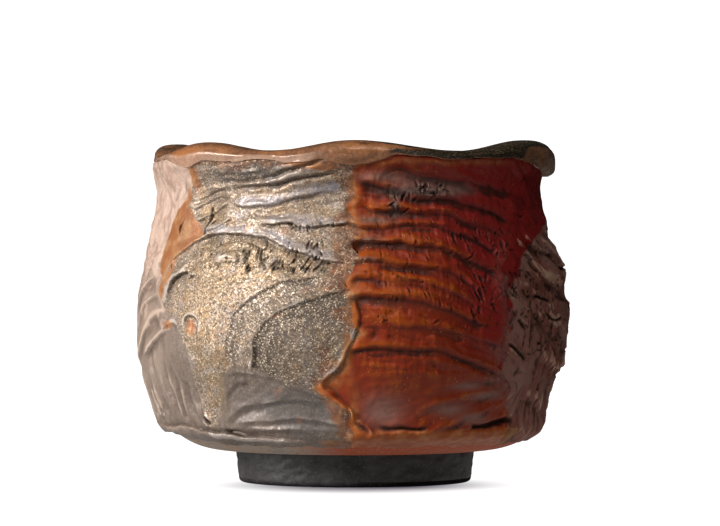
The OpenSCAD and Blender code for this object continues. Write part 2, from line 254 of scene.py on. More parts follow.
@dataclass
class SlipRelief:
    """The slip's surface all round the cup, on a grid of angle and height.

    The grid holds the slip's thickness over the clay in millimetres and, for the finishes, how far each place
    is above or below what is round it, which they turn partly into painted highlight and painted shade,
    where it is cracked or holds a line of painted shade, and where painted shade trails past a mark.
    """

    form: CupForm
    columns: int = 1600
    rows: int = 344
    low: float = 7.0
    high: float = 52.0
    arm: float = 33.0
    coat: float = 1.3
    thinnest: float = 0.35
    thickest: float = 3.2
    sway: float = 0.55
    full_lift: float = 0.3
    seed: int = 11
    thickness: np.ndarray = field(init=False)
    cracks: np.ndarray = field(init=False)
    polish: np.ndarray = field(init=False)
    tone: np.ndarray = field(init=False)
    crest: np.ndarray = field(init=False)
    hollow: np.ndarray = field(init=False)
    facet: np.ndarray = field(init=False)

    def __post_init__(self) -> None:
        """Lay an even coat, with the grid's places and the hand's unsteadiness ready."""
        self.ds = 2 * math.pi * self.arm / self.columns
        self.dz = (self.high - self.low) / (self.rows - 1)
        self.angle = (np.arange(self.columns) / self.columns - 0.5) * 360
        self.z = self.low + np.arange(self.rows) * self.dz
        self.sway_s = self.noise(6, 5, 4, 101) * self.sway
        self.sway_z = self.noise(6, 4, 4, 102) * self.sway
        self.thickness = np.full((self.rows, self.columns), self.coat)
        self.cracks = np.zeros_like(self.thickness)
        self.polish = np.zeros_like(self.thickness)
        self.tone = np.zeros_like(self.thickness)

    def noise(self, across: float, up: float, octaves: int, seed: int) -> np.ndarray:
        """Make smooth noise over the grid.

        Args:
            across: size of the largest patches round the cup, in millimetres.
            up: size of the largest patches up the cup, in millimetres.
            octaves: number of layers, each half as large as the one before.
            seed: number that fixes the pattern.

        Returns:
            Noise of the grid's shape, about -1 to 1.
        """
        total = np.zeros((self.rows, self.columns))
        scale = 0.0
        for octave in range(octaves):
            rng = np.random.default_rng(self.seed * 1000 + seed * 10 + octave)
            nx = max(2, round(2 * math.pi * self.arm / across * 2 ** octave))
            ny = max(2, round((self.high - self.low) / up * 2 ** octave))
            knots = rng.uniform(-1, 1, (ny + 2, nx))
            x = np.arange(self.columns) / self.columns * nx
            y = np.arange(self.rows) / self.rows * ny
            i, j = x.astype(int), y.astype(int)
            fx, fy = ease(0, 1, x - i), ease(0, 1, y - j)[:, None]
            rows = mix(knots[:, i], knots[:, (i + 1) % nx], fx)
            total += mix(rows[j], rows[j + 1], fy) * 0.5 ** octave
            scale += 0.5 ** octave
        return total / scale * 1.6

    def brush(self, along: np.ndarray, over: np.ndarray, size: Span, octaves: int, seed: int) -> np.ndarray:
        """Make noise that is drawn out along a stroke.

        Args:
            along: each place's distance along the stroke, in millimetres.
            over: each place's distance across the stroke, in millimetres.
            size: length and width of the largest patches.
            octaves: number of layers, each half as large as the one before.
            seed: number that fixes the pattern.

        Returns:
            Noise of the same shape, about -1 to 1.
        """
        tile = 256
        knots = np.random.default_rng(self.seed * 500 + seed).uniform(-1, 1, (tile, tile))
        total = np.zeros_like(along)
        for octave in range(octaves):
            x, y = along / size[0] * 2 ** octave + 17 * octave, over / size[1] * 2 ** octave + 31 * octave
            i, j = np.floor(x).astype(int), np.floor(y).astype(int)
            fx, fy = ease(0, 1, x - i), ease(0, 1, y - j)
            i0, i1, j0, j1 = i % tile, (i + 1) % tile, j % tile, (j + 1) % tile
            lower, upper = mix(knots[i0, j0], knots[i1, j0], fx), mix(knots[i0, j1], knots[i1, j1], fx)
            total += mix(lower, upper, fy) * 0.55 ** octave
        return total

    def blur(self, values: np.ndarray, reach: float) -> np.ndarray:
        """Average the grid over a soft disc.

        Args:
            values: numbers on the grid.
            reach: radius of the disc in millimetres.

        Returns:
            The averaged grid.
        """
        pad = int(4 * reach / self.dz)
        wide = np.concatenate([np.repeat(values[:1], pad, 0), values, np.repeat(values[-1:], pad, 0)])
        fs = np.fft.fftfreq(self.columns, self.ds)[None, :]
        fz = np.fft.fftfreq(wide.shape[0], self.dz)[:, None]
        soft = np.exp(-2 * (np.pi * reach) ** 2 * (fs ** 2 + fz ** 2))
        return np.fft.ifft2(np.fft.fft2(wide) * soft).real[pad:-pad]

    def window(self, angles: Span, heights: Span, edge: float) -> np.ndarray:
        """Give a soft mask that is 1 inside a patch.

        Args:
            angles: lowest and highest angle of the patch.
            heights: lowest and highest height of the patch.
            edge: width of its soft edge in millimetres.

        Returns:
            Mask of the grid's shape.
        """
        mid, half = sum(angles) / 2, (angles[1] - angles[0]) / 2
        off = np.abs(around(self.angle - mid)) - half
        side = ease(edge, -edge, np.radians(off) * self.arm)
        low, high = heights
        level = ease(low - edge, low + edge, self.z) * ease(high + edge, high - edge, self.z)
        return side[None, :] * level[:, None]

    def trace(self, path: Path, reach: float) -> tuple[np.ndarray, np.ndarray, np.ndarray, np.ndarray]:
        """Measure distances from a path.

        Args:
            path: points in degrees and millimetres.
            reach: how far from the path to measure, in millimetres.

        Returns:
            Rows, columns, distances (positive on the left) and shares of the path's length.
        """
        knots = np.array([(math.radians(a) * self.arm, z) for a, z in path])
        ends = np.vstack([2 * knots[0] - knots[1], knots, 2 * knots[-1] - knots[-2]])
        points = []
        for p0, p1, p2, p3 in zip(ends, ends[1:], ends[2:], ends[3:]):
            t = np.linspace(0, 1, 9)[:-1, None]
            bend, twist = 2 * p0 - 5 * p1 + 4 * p2 - p3, 3 * (p1 - p2) + p3 - p0
            points.append(p1 + 0.5 * t * (p2 - p0 + t * (bend + t * twist)))
        line = np.vstack([*points, knots[-1:]])
        half_turn = math.pi * self.arm
        columns = np.arange(math.floor((line[:, 0].min() - reach + half_turn) / self.ds),
                            math.ceil((line[:, 0].max() + reach + half_turn) / self.ds) + 1)
        rows = np.arange(max(0, math.floor((line[:, 1].min() - reach - self.low) / self.dz)),
                         min(self.rows - 1, math.ceil((line[:, 1].max() + reach - self.low) / self.dz)) + 1)
        place = np.ix_(rows, columns % self.columns)
        s = (columns * self.ds - half_turn)[None, :] + self.sway_s[place]
        z = self.z[rows][:, None] + self.sway_z[place]
        near = np.full(s.shape, np.inf)
        side, along = np.ones(s.shape), np.zeros(s.shape)
        for i, (a, b) in enumerate(zip(line, line[1:])):
            run = b - a
            t = np.clip(((s - a[0]) * run[0] + (z - a[1]) * run[1]) / max(run @ run, 1e-9), 0, 1)
            gap = (s - a[0] - t * run[0]) ** 2 + (z - a[1] - t * run[1]) ** 2
            closer = gap < near
            near = np.where(closer, gap, near)
            side = np.where(closer, np.sign(run[0] * (z - a[1]) - run[1] * (s - a[0])), side)
            along = np.where(closer, (i + t) / (len(line) - 1), along)
        return rows, columns % self.columns, side * np.sqrt(near), along

    def cut(self, mark: KnifeMark) -> None:
        """Press one knife mark into the slip."""
        rows, columns, d, along = self.trace(mark.path, max(5 * mark.ramp, 3 * mark.trail) + 3 * mark.width)
        place, fade = np.ix_(rows, columns), mark.fade(along)
        self.thickness[place] += fade * mark.height(d)
        # The groove shade line is painted shade, kept in the crack grid.
        self.cracks[place] = np.maximum(self.cracks[place], fade * mark.shade(d))
        self.polish[place] = np.maximum(self.polish[place], fade * mark.polish * hump(d, 0.6, 1.3))
        # Painted shade trails past the edge, where the surface turns from the lamps, over some darker sand.
        if mark.tone:
            past = mark.tone * ease(0.1, -0.15, d) * np.exp(np.minimum(d, 0) / mark.trail)
            self.tone[place] = np.maximum(self.tone[place], fade * past)

    def crack(self, patch: CrackField) -> None:
        """Open a patch of short cracks."""
        rng = np.random.default_rng(self.seed * 77 + patch.seed)
        for _ in range(patch.count):
            a, z = rng.uniform(*patch.angles), rng.uniform(*patch.heights)
            lean = math.radians(patch.lean + rng.normal(0, patch.spread))
            run = rng.uniform(*patch.length) / 3
            path = [(a, z)]
            for _ in range(3):
                lean += rng.normal(0, 0.35)
                a += math.degrees(run * math.sin(lean) / self.arm)
                z += run * math.cos(lean)
                path.append((a, z))
            width = patch.width * rng.uniform(0.6, 1.4)
            rows, columns, d, along = self.trace(tuple(path), 5 * width)
            open_ = hump(d, 0, width) * ease(0, 0.3, along) * ease(1, 0.7, along)
            shoulder = 0.35 * hump(np.abs(d) / width, 2, 1) * ease(0, 0.2, along) * ease(1, 0.8, along)
            place = np.ix_(rows, columns)
            self.thickness[place] += patch.depth * (shoulder - open_)
            self.cracks[place] = np.maximum(self.cracks[place], open_)

    def flatten(self, outline: Path) -> None:
        """Press one facet flat inside an outline, and remember it for the finishes."""
        s, z = np.meshgrid(self.angle, self.z)
        s, z = s + np.degrees(self.sway_s / self.arm), z + self.sway_z
        inside = np.zeros(s.shape, dtype=bool)
        for (a0, z0), (a1, z1) in zip(outline, (*outline[1:], outline[0])):
            crosses = (z0 > z) != (z1 > z)
            inside ^= crosses & (s < a0 + (z - z0) * (a1 - a0) / (z1 - z0 if z1 != z0 else 1))
        self.facet = self.blur(inside.astype(float), 0.4)
        self.thickness += self.facet * (self.blur(self.thickness, 3.0) + 0.12 - self.thickness) * 0.85

    def settle(self) -> None:
        """Bound the slip's thickness and read off its crests and hollows."""
        self.thickness = np.clip(self.thickness, self.thinnest, self.thickest)
        near = self.thickness - self.blur(self.thickness, 0.7)
        far = self.thickness - self.blur(self.thickness, 2.4)
        lift = 0.6 * near + 0.4 * far
        self.crest = np.clip(lift / self.full_lift, 0, 1)
        self.hollow = np.clip(-lift / self.full_lift, 0, 1)

    def read(self, values: np.ndarray, a: np.ndarray, z: np.ndarray) -> np.ndarray:
        """Read the grid between its places.

        Args:
            values: numbers on the grid.
            a: angles in degrees.
            z: heights in millimetres.

        Returns:
            One number for each place.
        """
        x = ((a + 180) / 360 * self.columns) % self.columns
        y = np.clip((z - self.low) / self.dz, 0, self.rows - 1.001)
        i, j = np.floor(x).astype(int) % self.columns, y.astype(int)
        fx, fy = x - np.floor(x), y - j
        k = (i + 1) % self.columns
        return mix(mix(values[j, i], values[j, k], fx), mix(values[j + 1, i], values[j + 1, k], fx), fy)


def step(path: Path, rise: float, ramp: float, depth: float, width: float, polish: float = 0.0,
         groove_shade: float = 0.0, taper: float = 0.18, trail: float = 0.0, tone: float = 0.0) -> KnifeMark:
    """Make a crest that drops on the right of its path, with numbers as in KnifeMark."""
    return KnifeMark(MarkKind.STEP, path, rise, ramp, depth, width, taper, polish, groove_shade, trail, tone)


def groove(path: Path, depth: float, width: float, rise: float = 0.12, ramp: float = 0.6,
           polish: float = 0.0, groove_shade: float = 0.0, taper: float = 0.18) -> KnifeMark:
    """Make a furrow along a path, with numbers as in KnifeMark."""
    return KnifeMark(MarkKind.GROOVE, path, rise, ramp, depth, width, taper, polish, groove_shade)


@dataclass
class TrowelWork:
    """The order in which the slip was worked: uneven coat, knife marks, then drying cracks.

    Each side that is uneven has its angle, its half width in degrees and its extra thickness by height. Each
    lumpy patch has its angles, its heights, its soft edge, the lumps' height and their noise. Each dry patch
    has its angles, its heights, its roughness and its seed.
    """

    relief: SlipRelief
    corner_rise: tuple[float, ...] = (0.4, 0.1, 0.25, 0.4, 0.4, 0.4)
    corner_width: float = 3.2
    sides: tuple[tuple[float, float, Path], ...] = (
        (-93, 34, ((8, 0.9), (10.8, 1.1), (16, 1.2), (21.2, 0.74), (26.4, 0.4), (30.9, 0.37), (34.8, 0.65),
                   (38.1, 0.9), (41.9, 1.38), (45.8, 1.26), (48.4, 1.03), (50.4, 0.55), (51.2, 0.2))),
        (88, 22, ((8, 0.3), (9.5, -0.1), (13.4, -0.5), (16, -0.4), (18.6, -0.1), (21.2, -0.35), (23.8, -0.3),
                  (26.4, 0.0), (28.8, 0.1), (29.5, -0.6), (30.9, -0.43), (33.5, 0.47), (34.8, 0.34),
                  (38.1, -0.1), (39.4, -0.8), (41.9, -0.25), (44, -0.45), (45.8, -0.34), (47.1, -0.65),
                  (49.2, -1.35), (51, -1.4))))
    lumps: tuple[tuple[Span, Span, float, float, tuple[float, float, int, int]], ...] = (
        ((0, 62), (17, 49), 2, 0.05, (1.1, 4.0, 2, 5)), ((180, 244), (17, 49), 2, 0.05, (1.1, 4.0, 2, 5)),
        ((-112, -56), (30, 50), 3, 0.26, (3.4, 4.2, 4, 12)),
        ((-58, -28), (33, 46), 3, 0.22, (3.0, 2.2, 4, 13)))
    dry_patches: tuple[tuple[Span, Span, float, int], ...] = (
        ((50, 122), (8, 44), 0.12, 6), ((40, 56), (18, 36), 0.12, 7), ((126, 170), (12, 30), 0.1, 8))
    facet: Path = (
        (-57.7, 44.7), (-62, 43.1), (-64.2, 39.8), (-64.8, 36.1), (-64.2, 34.2), (-60.6, 32.4), (-59.2, 34.2),
        (-56.8, 36.1), (-53, 37.7), (-47.4, 39.4), (-50.5, 41.3), (-54.3, 43.2))

    def work(self) -> SlipRelief:
        """Work the whole surface.

        Returns:
            The worked relief.
        """
        self.coat()
        for marks in (self.silver_marks, self.red_marks, self.tan_marks, self.brown_marks, self.back_marks):
            for mark in marks():
                self.relief.cut(mark)
        for patch in self.crack_patches():
            self.relief.crack(patch)
        self.relief.flatten(self.facet)
        self.relief.settle()
        return self.relief

    def coat(self) -> None:
        """Give the coat its uneven thickness, its flare at the lip and its rise at the corners."""
        r = self.relief
        form = r.form
        share = (r.z - form.skirt_h) / (form.rim_h - form.lip_roll_h - form.skirt_h)
        profile = 0.95 * ease(46.5, 51, r.z) - 0.5 * hump(r.z, form.belly_h, 7)
        r.thickness += profile[:, None] + 0.20 * r.noise(24, 18, 3, 1)
        r.thickness += 0.08 * r.noise(5, 4, 3, 2) + 0.03 * r.noise(1.2, 1.0, 2, 3)
        for side, reach, swell in self.sides:
            swollen = follow(swell, r.z)[:, None]
            r.thickness += swollen * hump(around(r.angle - side), 0, reach)[None, :]
        for k, rise in enumerate(self.corner_rise):
            line = form.corner_line(k, np.clip(share, 0, 1))
            off = np.radians(around(r.angle[None, :] - line[:, None])) * r.arm
            r.thickness += rise * hump(off + r.sway_s, 0, self.corner_width)
        for angles, heights, edge, height, grain in self.lumps:
            r.thickness += r.window(angles, heights, edge) * height * r.noise(*grain)
        hem = r.window((-2, 56), (7.6, 9.3), 0.5)
        r.thickness += 0.5 * hem + 0.12 * hem * r.noise(4, 4, 2, 9)
        self.texture()
        for patch in self.dry_patches:
            self.dry(*patch)

    def texture(self) -> None:
        """Draw the blade's fine ridges along the strokes of each panel."""
        r = self.relief
        s, z = np.meshgrid(np.radians(r.angle) * r.arm, r.z)
        s, z = s + 0.8 * r.sway_s, z + 0.8 * r.sway_z

        def round_about(a: float, h: float) -> tuple[np.ndarray, np.ndarray]:
            """Give the distance from a point at angle a and height h, and the arc round it at 12 mm."""
            x = (s - math.radians(a) * r.arm + math.pi * r.arm) % (2 * math.pi * r.arm) - math.pi * r.arm
            return np.hypot(x, z - h), 12 * np.arctan2(z - h, x)

        dip = z + 0.0104 * np.maximum(s, 0) ** 2
        arch, arch_run = round_about(-33, 15.8)
        scoop, scoop_run = round_about(-8.7, 17.5)
        fan, fan_turn = round_about(-46, 8.3)
        hand, hand_turn = round_about(56, 18.5)
        leaf, leaf_run = round_about(-45, -2.6)
        back, back_run = round_about(177, 9)
        coil, coil_run = round_about(178, -31)
        zones = (
            ((-56, 0), (40.5, 51), s, z - 0.09 * s, (8, 1.3), 0.22),
            ((-62, -1), (31, 40), arch_run, arch, (5, 1.6), 0.18),
            ((-38, -2), (18, 33), scoop_run, scoop, (4, 1.2), 0.09),
            ((-36, -2), (8, 18), fan, fan_turn, (9, 1.8), 0.11),
            ((-110, -54), (33, 51), z, s + 0.35 * z, (5, 2.2), 0.20),
            ((-110, -36), (8, 27), z, s - 0.1 * z, (9, 1.9), 0.16),
            ((-110, -56), (24, 38), leaf_run, leaf, (6, 1.5), 0.18),
            ((1, 62), (18, 51), s, dip, (7, 1.5), 0.24),
            ((1, 62), (18, 51), z, s, (2.2, 0.6), 0.05),
            ((2, 54), (8, 19), hand, hand_turn, (9, 1.3), 0.18),
            ((54, 122), (8, 22), z, s, (7, 1.1), 0.24),
            ((56, 122), (38, 51), s, dip, (7, 1.6), 0.22),
            ((120, 182), (8, 51), back_run, back, (7, 1.6), 0.22),
            ((182, 254), (8, 51), coil_run, coil, (7, 1.5), 0.22))
        for n, (angles, heights, along, over, size, depth) in enumerate(zones):
            r.thickness += depth * r.window(angles, heights, 1.6) * r.brush(along, over, size, 4, 60 + n)

    def dry(self, angles: Span, heights: Span, rough: float, seed: int) -> None:
        """Roughen a patch and open a net of drying cracks in it.

        Args:
            angles: lowest and highest angle of the patch.
            heights: lowest and highest height of the patch.
            rough: height of its roughness.
            seed: number that fixes the pattern.
        """
        r = self.relief
        mask = r.window(angles, heights, 3)
        grain = r.noise(1.6, 5.5, 4, seed * 10) + 0.6 * r.noise(1.0, 1.0, 2, seed * 10 + 1)
        net = hump(r.noise(3.6, 4.2, 3, seed * 10 + 2), 0, 0.055)
        net = net * ease(-0.1, 0.5, r.noise(6, 6, 2, seed * 10 + 3))
        r.thickness += mask * (rough * grain - 0.35 * net)
        r.cracks = np.maximum(r.cracks, mask * net)

    def arc(self, a: float, z: float, reach: float, run: np.ndarray) -> Path:
        """Give an arc of a circle of radius reach about angle a and height z, at distances run from it."""
        arm = self.relief.arm
        return tuple((float(a + math.degrees(s / arm)), float(z + math.sqrt(reach * reach - s * s)))
                     for s in run)

    def silver_marks(self) -> list[KnifeMark]:
        """List the marks on the front left panel."""
        upper = [
            step(((-42, 49.4), (-34, 49.6), (-26, 50.0)), 0.22, 0.8, 0.12, 0.4, 0.3),
            groove(((-42, 48.0), (-31, 48.5), (-22, 49.0), (-15, 49.8), (-7, 51.2)), 0.36, 0.32, 0.22, 0.5,
                   0.3, 0.5),
            groove(((-38, 47.0), (-28, 47.4), (-20, 47.8), (-13, 48.4), (-3, 49.1)), 0.40, 0.32, 0.24, 0.5,
                   0.4, 0.5),
            step(((-38, 44.4), (-31, 44.2), (-25, 44.9), (-17, 45.4), (-9, 46.2), (-2, 46.4)), 0.18, 2.2,
                 0.2, 0.35, 0.8, 0.3, 0.12),
            step(((-53, 45.0), (-46, 46.2), (-40, 47.0)), 0.3, 0.6, 0.2, 0.3, 0.2),
            step(((-54, 43.2), (-48, 44.7), (-42, 45.6), (-36, 45.4)), 0.3, 0.6, 0.2, 0.3, 0.3),
            step(((-52, 41.6), (-45, 43.3), (-39, 44.4)), 0.34, 0.7, 0.25, 0.3, 0),
            step(((-48, 39.9), (-42, 41.0), (-37, 42.6)), 0.34, 0.9, 0.2, 0.3, 0),
            step(((-29, 41.0), (-20, 41.7), (-12, 41.2), (-5, 41.1), (-1, 41.2)), 0.3, 2.0, 0.25, 0.35, 0.7,
                 0.4, 0.12),
            groove(((-46, 44.2), (-46.5, 42.4), (-47.5, 40.6), (-47.6, 39.2)), 0.6, 0.2, 0.12, 0.4, 0, 1.0,
                   0.1),
            groove(((-44.6, 42.0), (-45.6, 41.2)), 0.5, 0.18, 0.1, 0.3, 0, 1.0, 0.1),
        ]
        arch = [
            step(((-63, 32.0), (-60, 35.0), (-56, 37.0), (-49, 38.9), (-43, 39.7), (-36, 39.8), (-29, 39.5),
                  (-21, 38.6), (-15, 37.3), (-9, 36.3), (-1, 35.9)),
                 0.4, 1.5, 0.36, 0.42, 0.7, 0.3, 0.08, 2.0, 0.3),
            step(((-60, 28.6), (-58, 31.5), (-55, 33.8), (-50, 34.4)), 0.6, 1.1, 0.4, 0.3, 0, 0.45, 0.12),
            step(((-61, 25.0), (-59, 25.9), (-55, 26.5), (-52, 25.2)), 0.4, 0.8, 0.34, 0.3, 0, 0.3),
            step(((-50.6, 24.4), (-49.6, 26.7), (-46.8, 27.5), (-44.3, 26.2), (-44.8, 23.2)), 0.6, 0.9, 0.4,
                 0.32, 0, 0.5),
        ]
        scoops = [
            step(((-37, 18.8), (-36, 22.6), (-34, 25.4), (-31, 28.0), (-27, 30.4), (-21, 32.4), (-14, 33.2),
                  (-7, 33.3)),
                 0.12, 1.6, 0.12, 0.35, 0.0, 0.0, 0.1, 3.2, 0.8),
            step(((-30, 18.9), (-28, 21.4), (-27, 23.4), (-24.5, 25.6), (-19.5, 27.8), (-14, 29.2),
                  (-9, 30.3), (-1, 31.6)),
                 0.22, 1.6, 0.22, 0.3, 0.0, 0.0, 0.07, 9.0, 0.95),
            step(((-38, 18.0), (-31, 18.8), (-26, 18.4), (-21, 17.5), (-15, 16.0), (-10, 15.0), (-5, 14.0)),
                 0.12, 1.4, 0.12, 0.4, 0, 0, 0.1, 5.0, 0.4),
        ]
        fan = [
            step(((-39, 14.6), (-35, 16.6), (-30, 17.6)), 0.14, 1.0, 0.14, 0.5, 0.3, 0.2),
            step(((-41, 9.8), (-36, 12.0), (-31, 13.4), (-25, 14.0), (-16, 14.4), (-8, 13.0)), 0.26, 0.9,
                 0.14, 0.9, 0.7),
            step(((-40, 9.6), (-32, 10.6), (-24, 11.4), (-14, 11.2), (-7, 10.8), (-1, 10.7)), 0.32, 0.8,
                 0.18, 0.9, 1.0),
            step(((-39, 9.2), (-30, 9.4), (-19, 9.5), (-9, 8.6)), 0.24, 0.6, 0.14, 0.7, 0.7),
            groove(((-48, 11.6), (-45.5, 10.2)), 0.9, 0.4, 0.3, 0.5, 0, 1.0, 0.3),
            step(((-8, 7.4), (-24, 7.6), (-36, 7.9), (-45, 8.5), (-56, 8.9), (-70, 9.1), (-86, 9.5)), 0.55,
                 1.3, 0.4, 0.45, 0, 0.4, 0.2),
            groove(((-42, 8.7), (-38, 8.5), (-34, 8.4)), 0.7, 0.36, 0.05, 0.5, 0, 1.0, 0.3),
        ]
        return upper + arch + scoops + fan

    def red_marks(self) -> list[KnifeMark]:
        """List the marks on the front right panel: ripples that dip to the right, and a fan below."""
        ripples = [
            ((5, 49.8), (13, 50.2), (19, 49.3), (26, 48.4), (35, 48.2), (47, 47.5), (57, 46.0), (68, 43.4)),
            ((1, 48.4), (7, 47.9), (13, 46.5), (19, 45.6), (27, 45.3), (35, 45.1), (44, 44.0), (55, 41.4)),
            ((2, 44.5), (13, 43.8), (25, 43.2), (38, 42.0), (50, 39.5)),
            ((-3, 41.7), (4, 41.3), (11, 41.3), (21, 41.4), (34, 39.8), (45, 37.0)),
            ((-3, 38.9), (8, 38.7), (21, 38.1), (32, 36.4), (46, 33.4)),
            ((-2, 36.1), (4, 36.1), (12, 35.5), (23, 34.5), (29, 33.6), (40, 30.6)),
            ((-2, 33.3), (4, 33.2), (12, 32.9), (23, 32.0), (36, 28.8)),
            ((-3, 30.4), (4, 30.6), (12, 30.2), (22, 29.2), (28, 28.0), (39, 24.8)),
            ((8, 26.4), (17, 26.0), (22, 25.5), (31, 24.2), (43, 22.2)),
            ((-3, 22.1), (4, 22.6), (12, 22.8), (22, 22.3), (31, 20.8), (38, 19.3), (43, 17.8)),
        ]
        depths = (0.28, 0.54, 0.36, 0.46, 0.46, 0.42, 0.32, 0.48, 0.30, 0.44)
        marks = []
        for path, depth in zip(ripples, depths):
            marks.append(step(path, 0.8 * depth, 1.6, depth, 0.75, 0, 1.2 * depth, 0.1))
            between = tuple((a + 1, z - 1.5) for a, z in path[1:-1])
            marks.append(groove(between, 0.12 + 0.2 * abs(depth - 0.4), 0.4, 0.08, 0.6, 0, 0.15))
        return marks + [
            step(((20, 15.8), (29, 16.8), (35, 17.4), (44, 17.0)), 0.25, 1.2, 0.2, 0.9),
            step(((15, 11.6), (24, 14.0), (30, 14.4), (38, 15.0), (46, 16.0)), 0.36, 1.2, 0.32, 0.9),
            step(((22, 9.2), (30, 10.5), (36, 11.7), (47, 13.6)), 0.36, 1.2, 0.32, 0.9),
            step(((30, 8.8), (38, 9.8), (48, 11.4)), 0.25, 0.9, 0.2, 0.4),
            step(((0, 10.4), (-1, 12.8), (-5, 14.8), (-9, 16.9), (-4, 20.2), (-1, 24.3), (0, 28), (-1, 31)),
                 0.35, 0.7, 0.3, 0.6, 0, 0, 0.1),
            step(((-1, 14.0), (0, 11.4), (3, 10.3), (5, 9.2)), 0.45, 0.6, 0.35, 0.4, 0, 0.4),
            groove(((6, 10.2), (12, 9.7), (17, 9.7), (22, 9.4)), 0.6, 0.35, 0.1, 0.5, 0, 0.8),
            groove(((35, 9.5), (41, 9.8), (46, 10.3), (54, 10.7)), 0.9, 0.42, 0.1, 0.5, 0, 1.0),
        ]

    def tan_marks(self) -> list[KnifeMark]:
        """List the marks on the left panel: nested leaf shapes above, flutes below."""
        leaves = ((28.8, -19, -5, 0.66), (32.0, -25, -7, 0.7), (35.2, -29, -8, 0.4), (38.4, -32, -10, 0.45),
                  (41.6, -34, -14, 0.2))
        flutes = ((-74, 11.0, 16.0, 0.8, 0.55), (-80, 9.4, 20, 0.45, 1.1), (-69.5, 9.6, 22, 0.42, 1.0),
                  (-62, 9.2, 21, 0.4, 0.9), (-58.2, 9.2, 20, 0.45, 0.7), (-52.5, 9.6, 19, 0.36, 0.8),
                  (-88, 9.2, 21, 0.4, 1.1), (-95, 9.4, 20, 0.35, 0.9), (-102, 9.2, 22, 0.4, 1.0),
                  (-108, 9.2, 19, 0.3, 0.8))
        marks = []
        for reach, start, end, rise in leaves:
            path = self.arc(-45, -2.6, reach, np.linspace(start, end, 6))
            marks.append(step(path, rise, 1.5, 0.5 * rise, 0.6, 0, 0, 0.25))
        for a, low, high, depth, width in flutes:
            path = ((a + 1.5, low), (a, low + 0.4 * (high - low)), (a - 1, high))
            marks.append(groove(path, depth, width, 0.5 * depth, width, 0, 0.9 if width < 0.6 else 0, 0.3))
        return marks

    def brown_marks(self) -> list[KnifeMark]:
        """List the ledges and open cracks of the right panel."""
        cracks = [((42, 22.4), (47, 21.2), (52, 19.9)), ((54, 30.4), (59, 30.0), (64, 29.3)),
                  ((46.6, 26.6), (50.2, 24.5)), ((53.5, 26.0), (52.6, 24), (51.6, 22)),
                  ((60, 27.5), (66, 26.6), (72, 27)), ((58, 24), (59, 20.5)),
                  ((66, 23), (70, 20), (69, 17)), ((78, 30), (84, 28.5), (92, 29)),
                  ((76, 22), (83, 21), (88, 22.4)), ((96, 26), (103, 24.5), (110, 25)),
                  ((72, 36), (80, 34.4), (90, 35)), ((100, 36), (106, 33), (112, 33.5))]
        ledges = [((51, 40.5), (54.5, 38), (57.5, 35.4), (63, 32.6), (70, 31.2)),
                  ((56, 40.5), (61, 38), (68, 36.8), (77, 37.2)), ((84, 40), (94, 37.6), (106, 38.6)),
                  ((55, 27.8), (62, 25), (70, 24.2)), ((72, 19.2), (82, 17.8), (94, 18.6))]
        marks = [groove(path, 0.6, 0.22, 0.16, 0.6, 0, 1.0, 0.2) for path in cracks]
        return marks + [step(path, 0.32, 0.9, 0.34, 0.5, 0, 0.3, 0.2) for path in ledges]

    def back_marks(self) -> list[KnifeMark]:
        """List the marks on the three panels behind."""
        rng = np.random.default_rng(23)

        def sweep(reach: float) -> Path:
            """Give a quarter round of a reach in millimetres about the back right panel's lower corner."""
            turns = np.radians(np.linspace(172, 92, 6))
            return tuple((float(177 + math.degrees(reach * math.cos(t) / self.relief.arm)),
                          float(9 + reach * math.sin(t))) for t in turns)

        marks = [step(sweep(reach), 0.45, 2.2, 0.55, 1.5, 0.4, 0, 0.1, 4.0) for reach in range(6, 37, 6)]
        for reach in range(12, 43, 6):
            path = self.arc(53, -2.6, reach, np.linspace(0, min(35, 0.95 * reach), 6))
            marks.append(step(path, 0.3, 1.8, 0.35, 1.2))
        for n in range(15, 30):
            coil = self.arc(178, -31, 2.8 * n, np.linspace(0, min(44, 2.6 * n), 7))
            path = tuple((a, z + rng.normal(0, 0.15)) for a, z in coil)
            marks.append(step(path, 0.2 + 0.1 * (n % 2), 1.5, 0.25 + 0.12 * (n % 2), 0.75, 0, 0.35, 0.1))
        return marks

    def crack_patches(self) -> list[CrackField]:
        """List the patches of drying cracks."""
        return [
            CrackField((-34, -7), (33.6, 37.8), 96, (0.6, 1.9), 0.10, 0.30, 18, 12, 1),
            CrackField((-50, -34), (32, 38), 26, (0.5, 1.5), 0.10, 0.24, 40, 25, 2),
            CrackField((-22, -5), (40.0, 41.2), 22, (0.4, 1.0), 0.10, 0.24, 5, 15, 4),
            CrackField((14, 30), (44.6, 47), 16, (0.8, 1.8), 0.14, 0.34, 0, 25, 5),
            CrackField((9, 14), (42, 46), 8, (0.8, 2.0), 0.16, 0.4, 5, 20, 15),
            CrackField((2, 40), (24, 43), 70, (0.5, 1.5), 0.11, 0.2, 0, 10, 6),
            CrackField((30, 50), (24, 40), 60, (0.8, 2.4), 0.15, 0.4, -10, 22, 7),
            CrackField((48, 78), (21, 38), 120, (0.5, 1.7), 0.13, 0.40, 10, 50, 8),
            CrackField((70, 120), (13, 45), 130, (0.6, 2.2), 0.13, 0.38, 10, 50, 18),
            CrackField((118, 176), (14, 44), 40, (0.8, 2.4), 0.13, 0.3, 10, 30, 9),
            CrackField((180, 244), (14, 46), 50, (0.6, 1.8), 0.13, 0.25, 0, 15, 10),
        ]


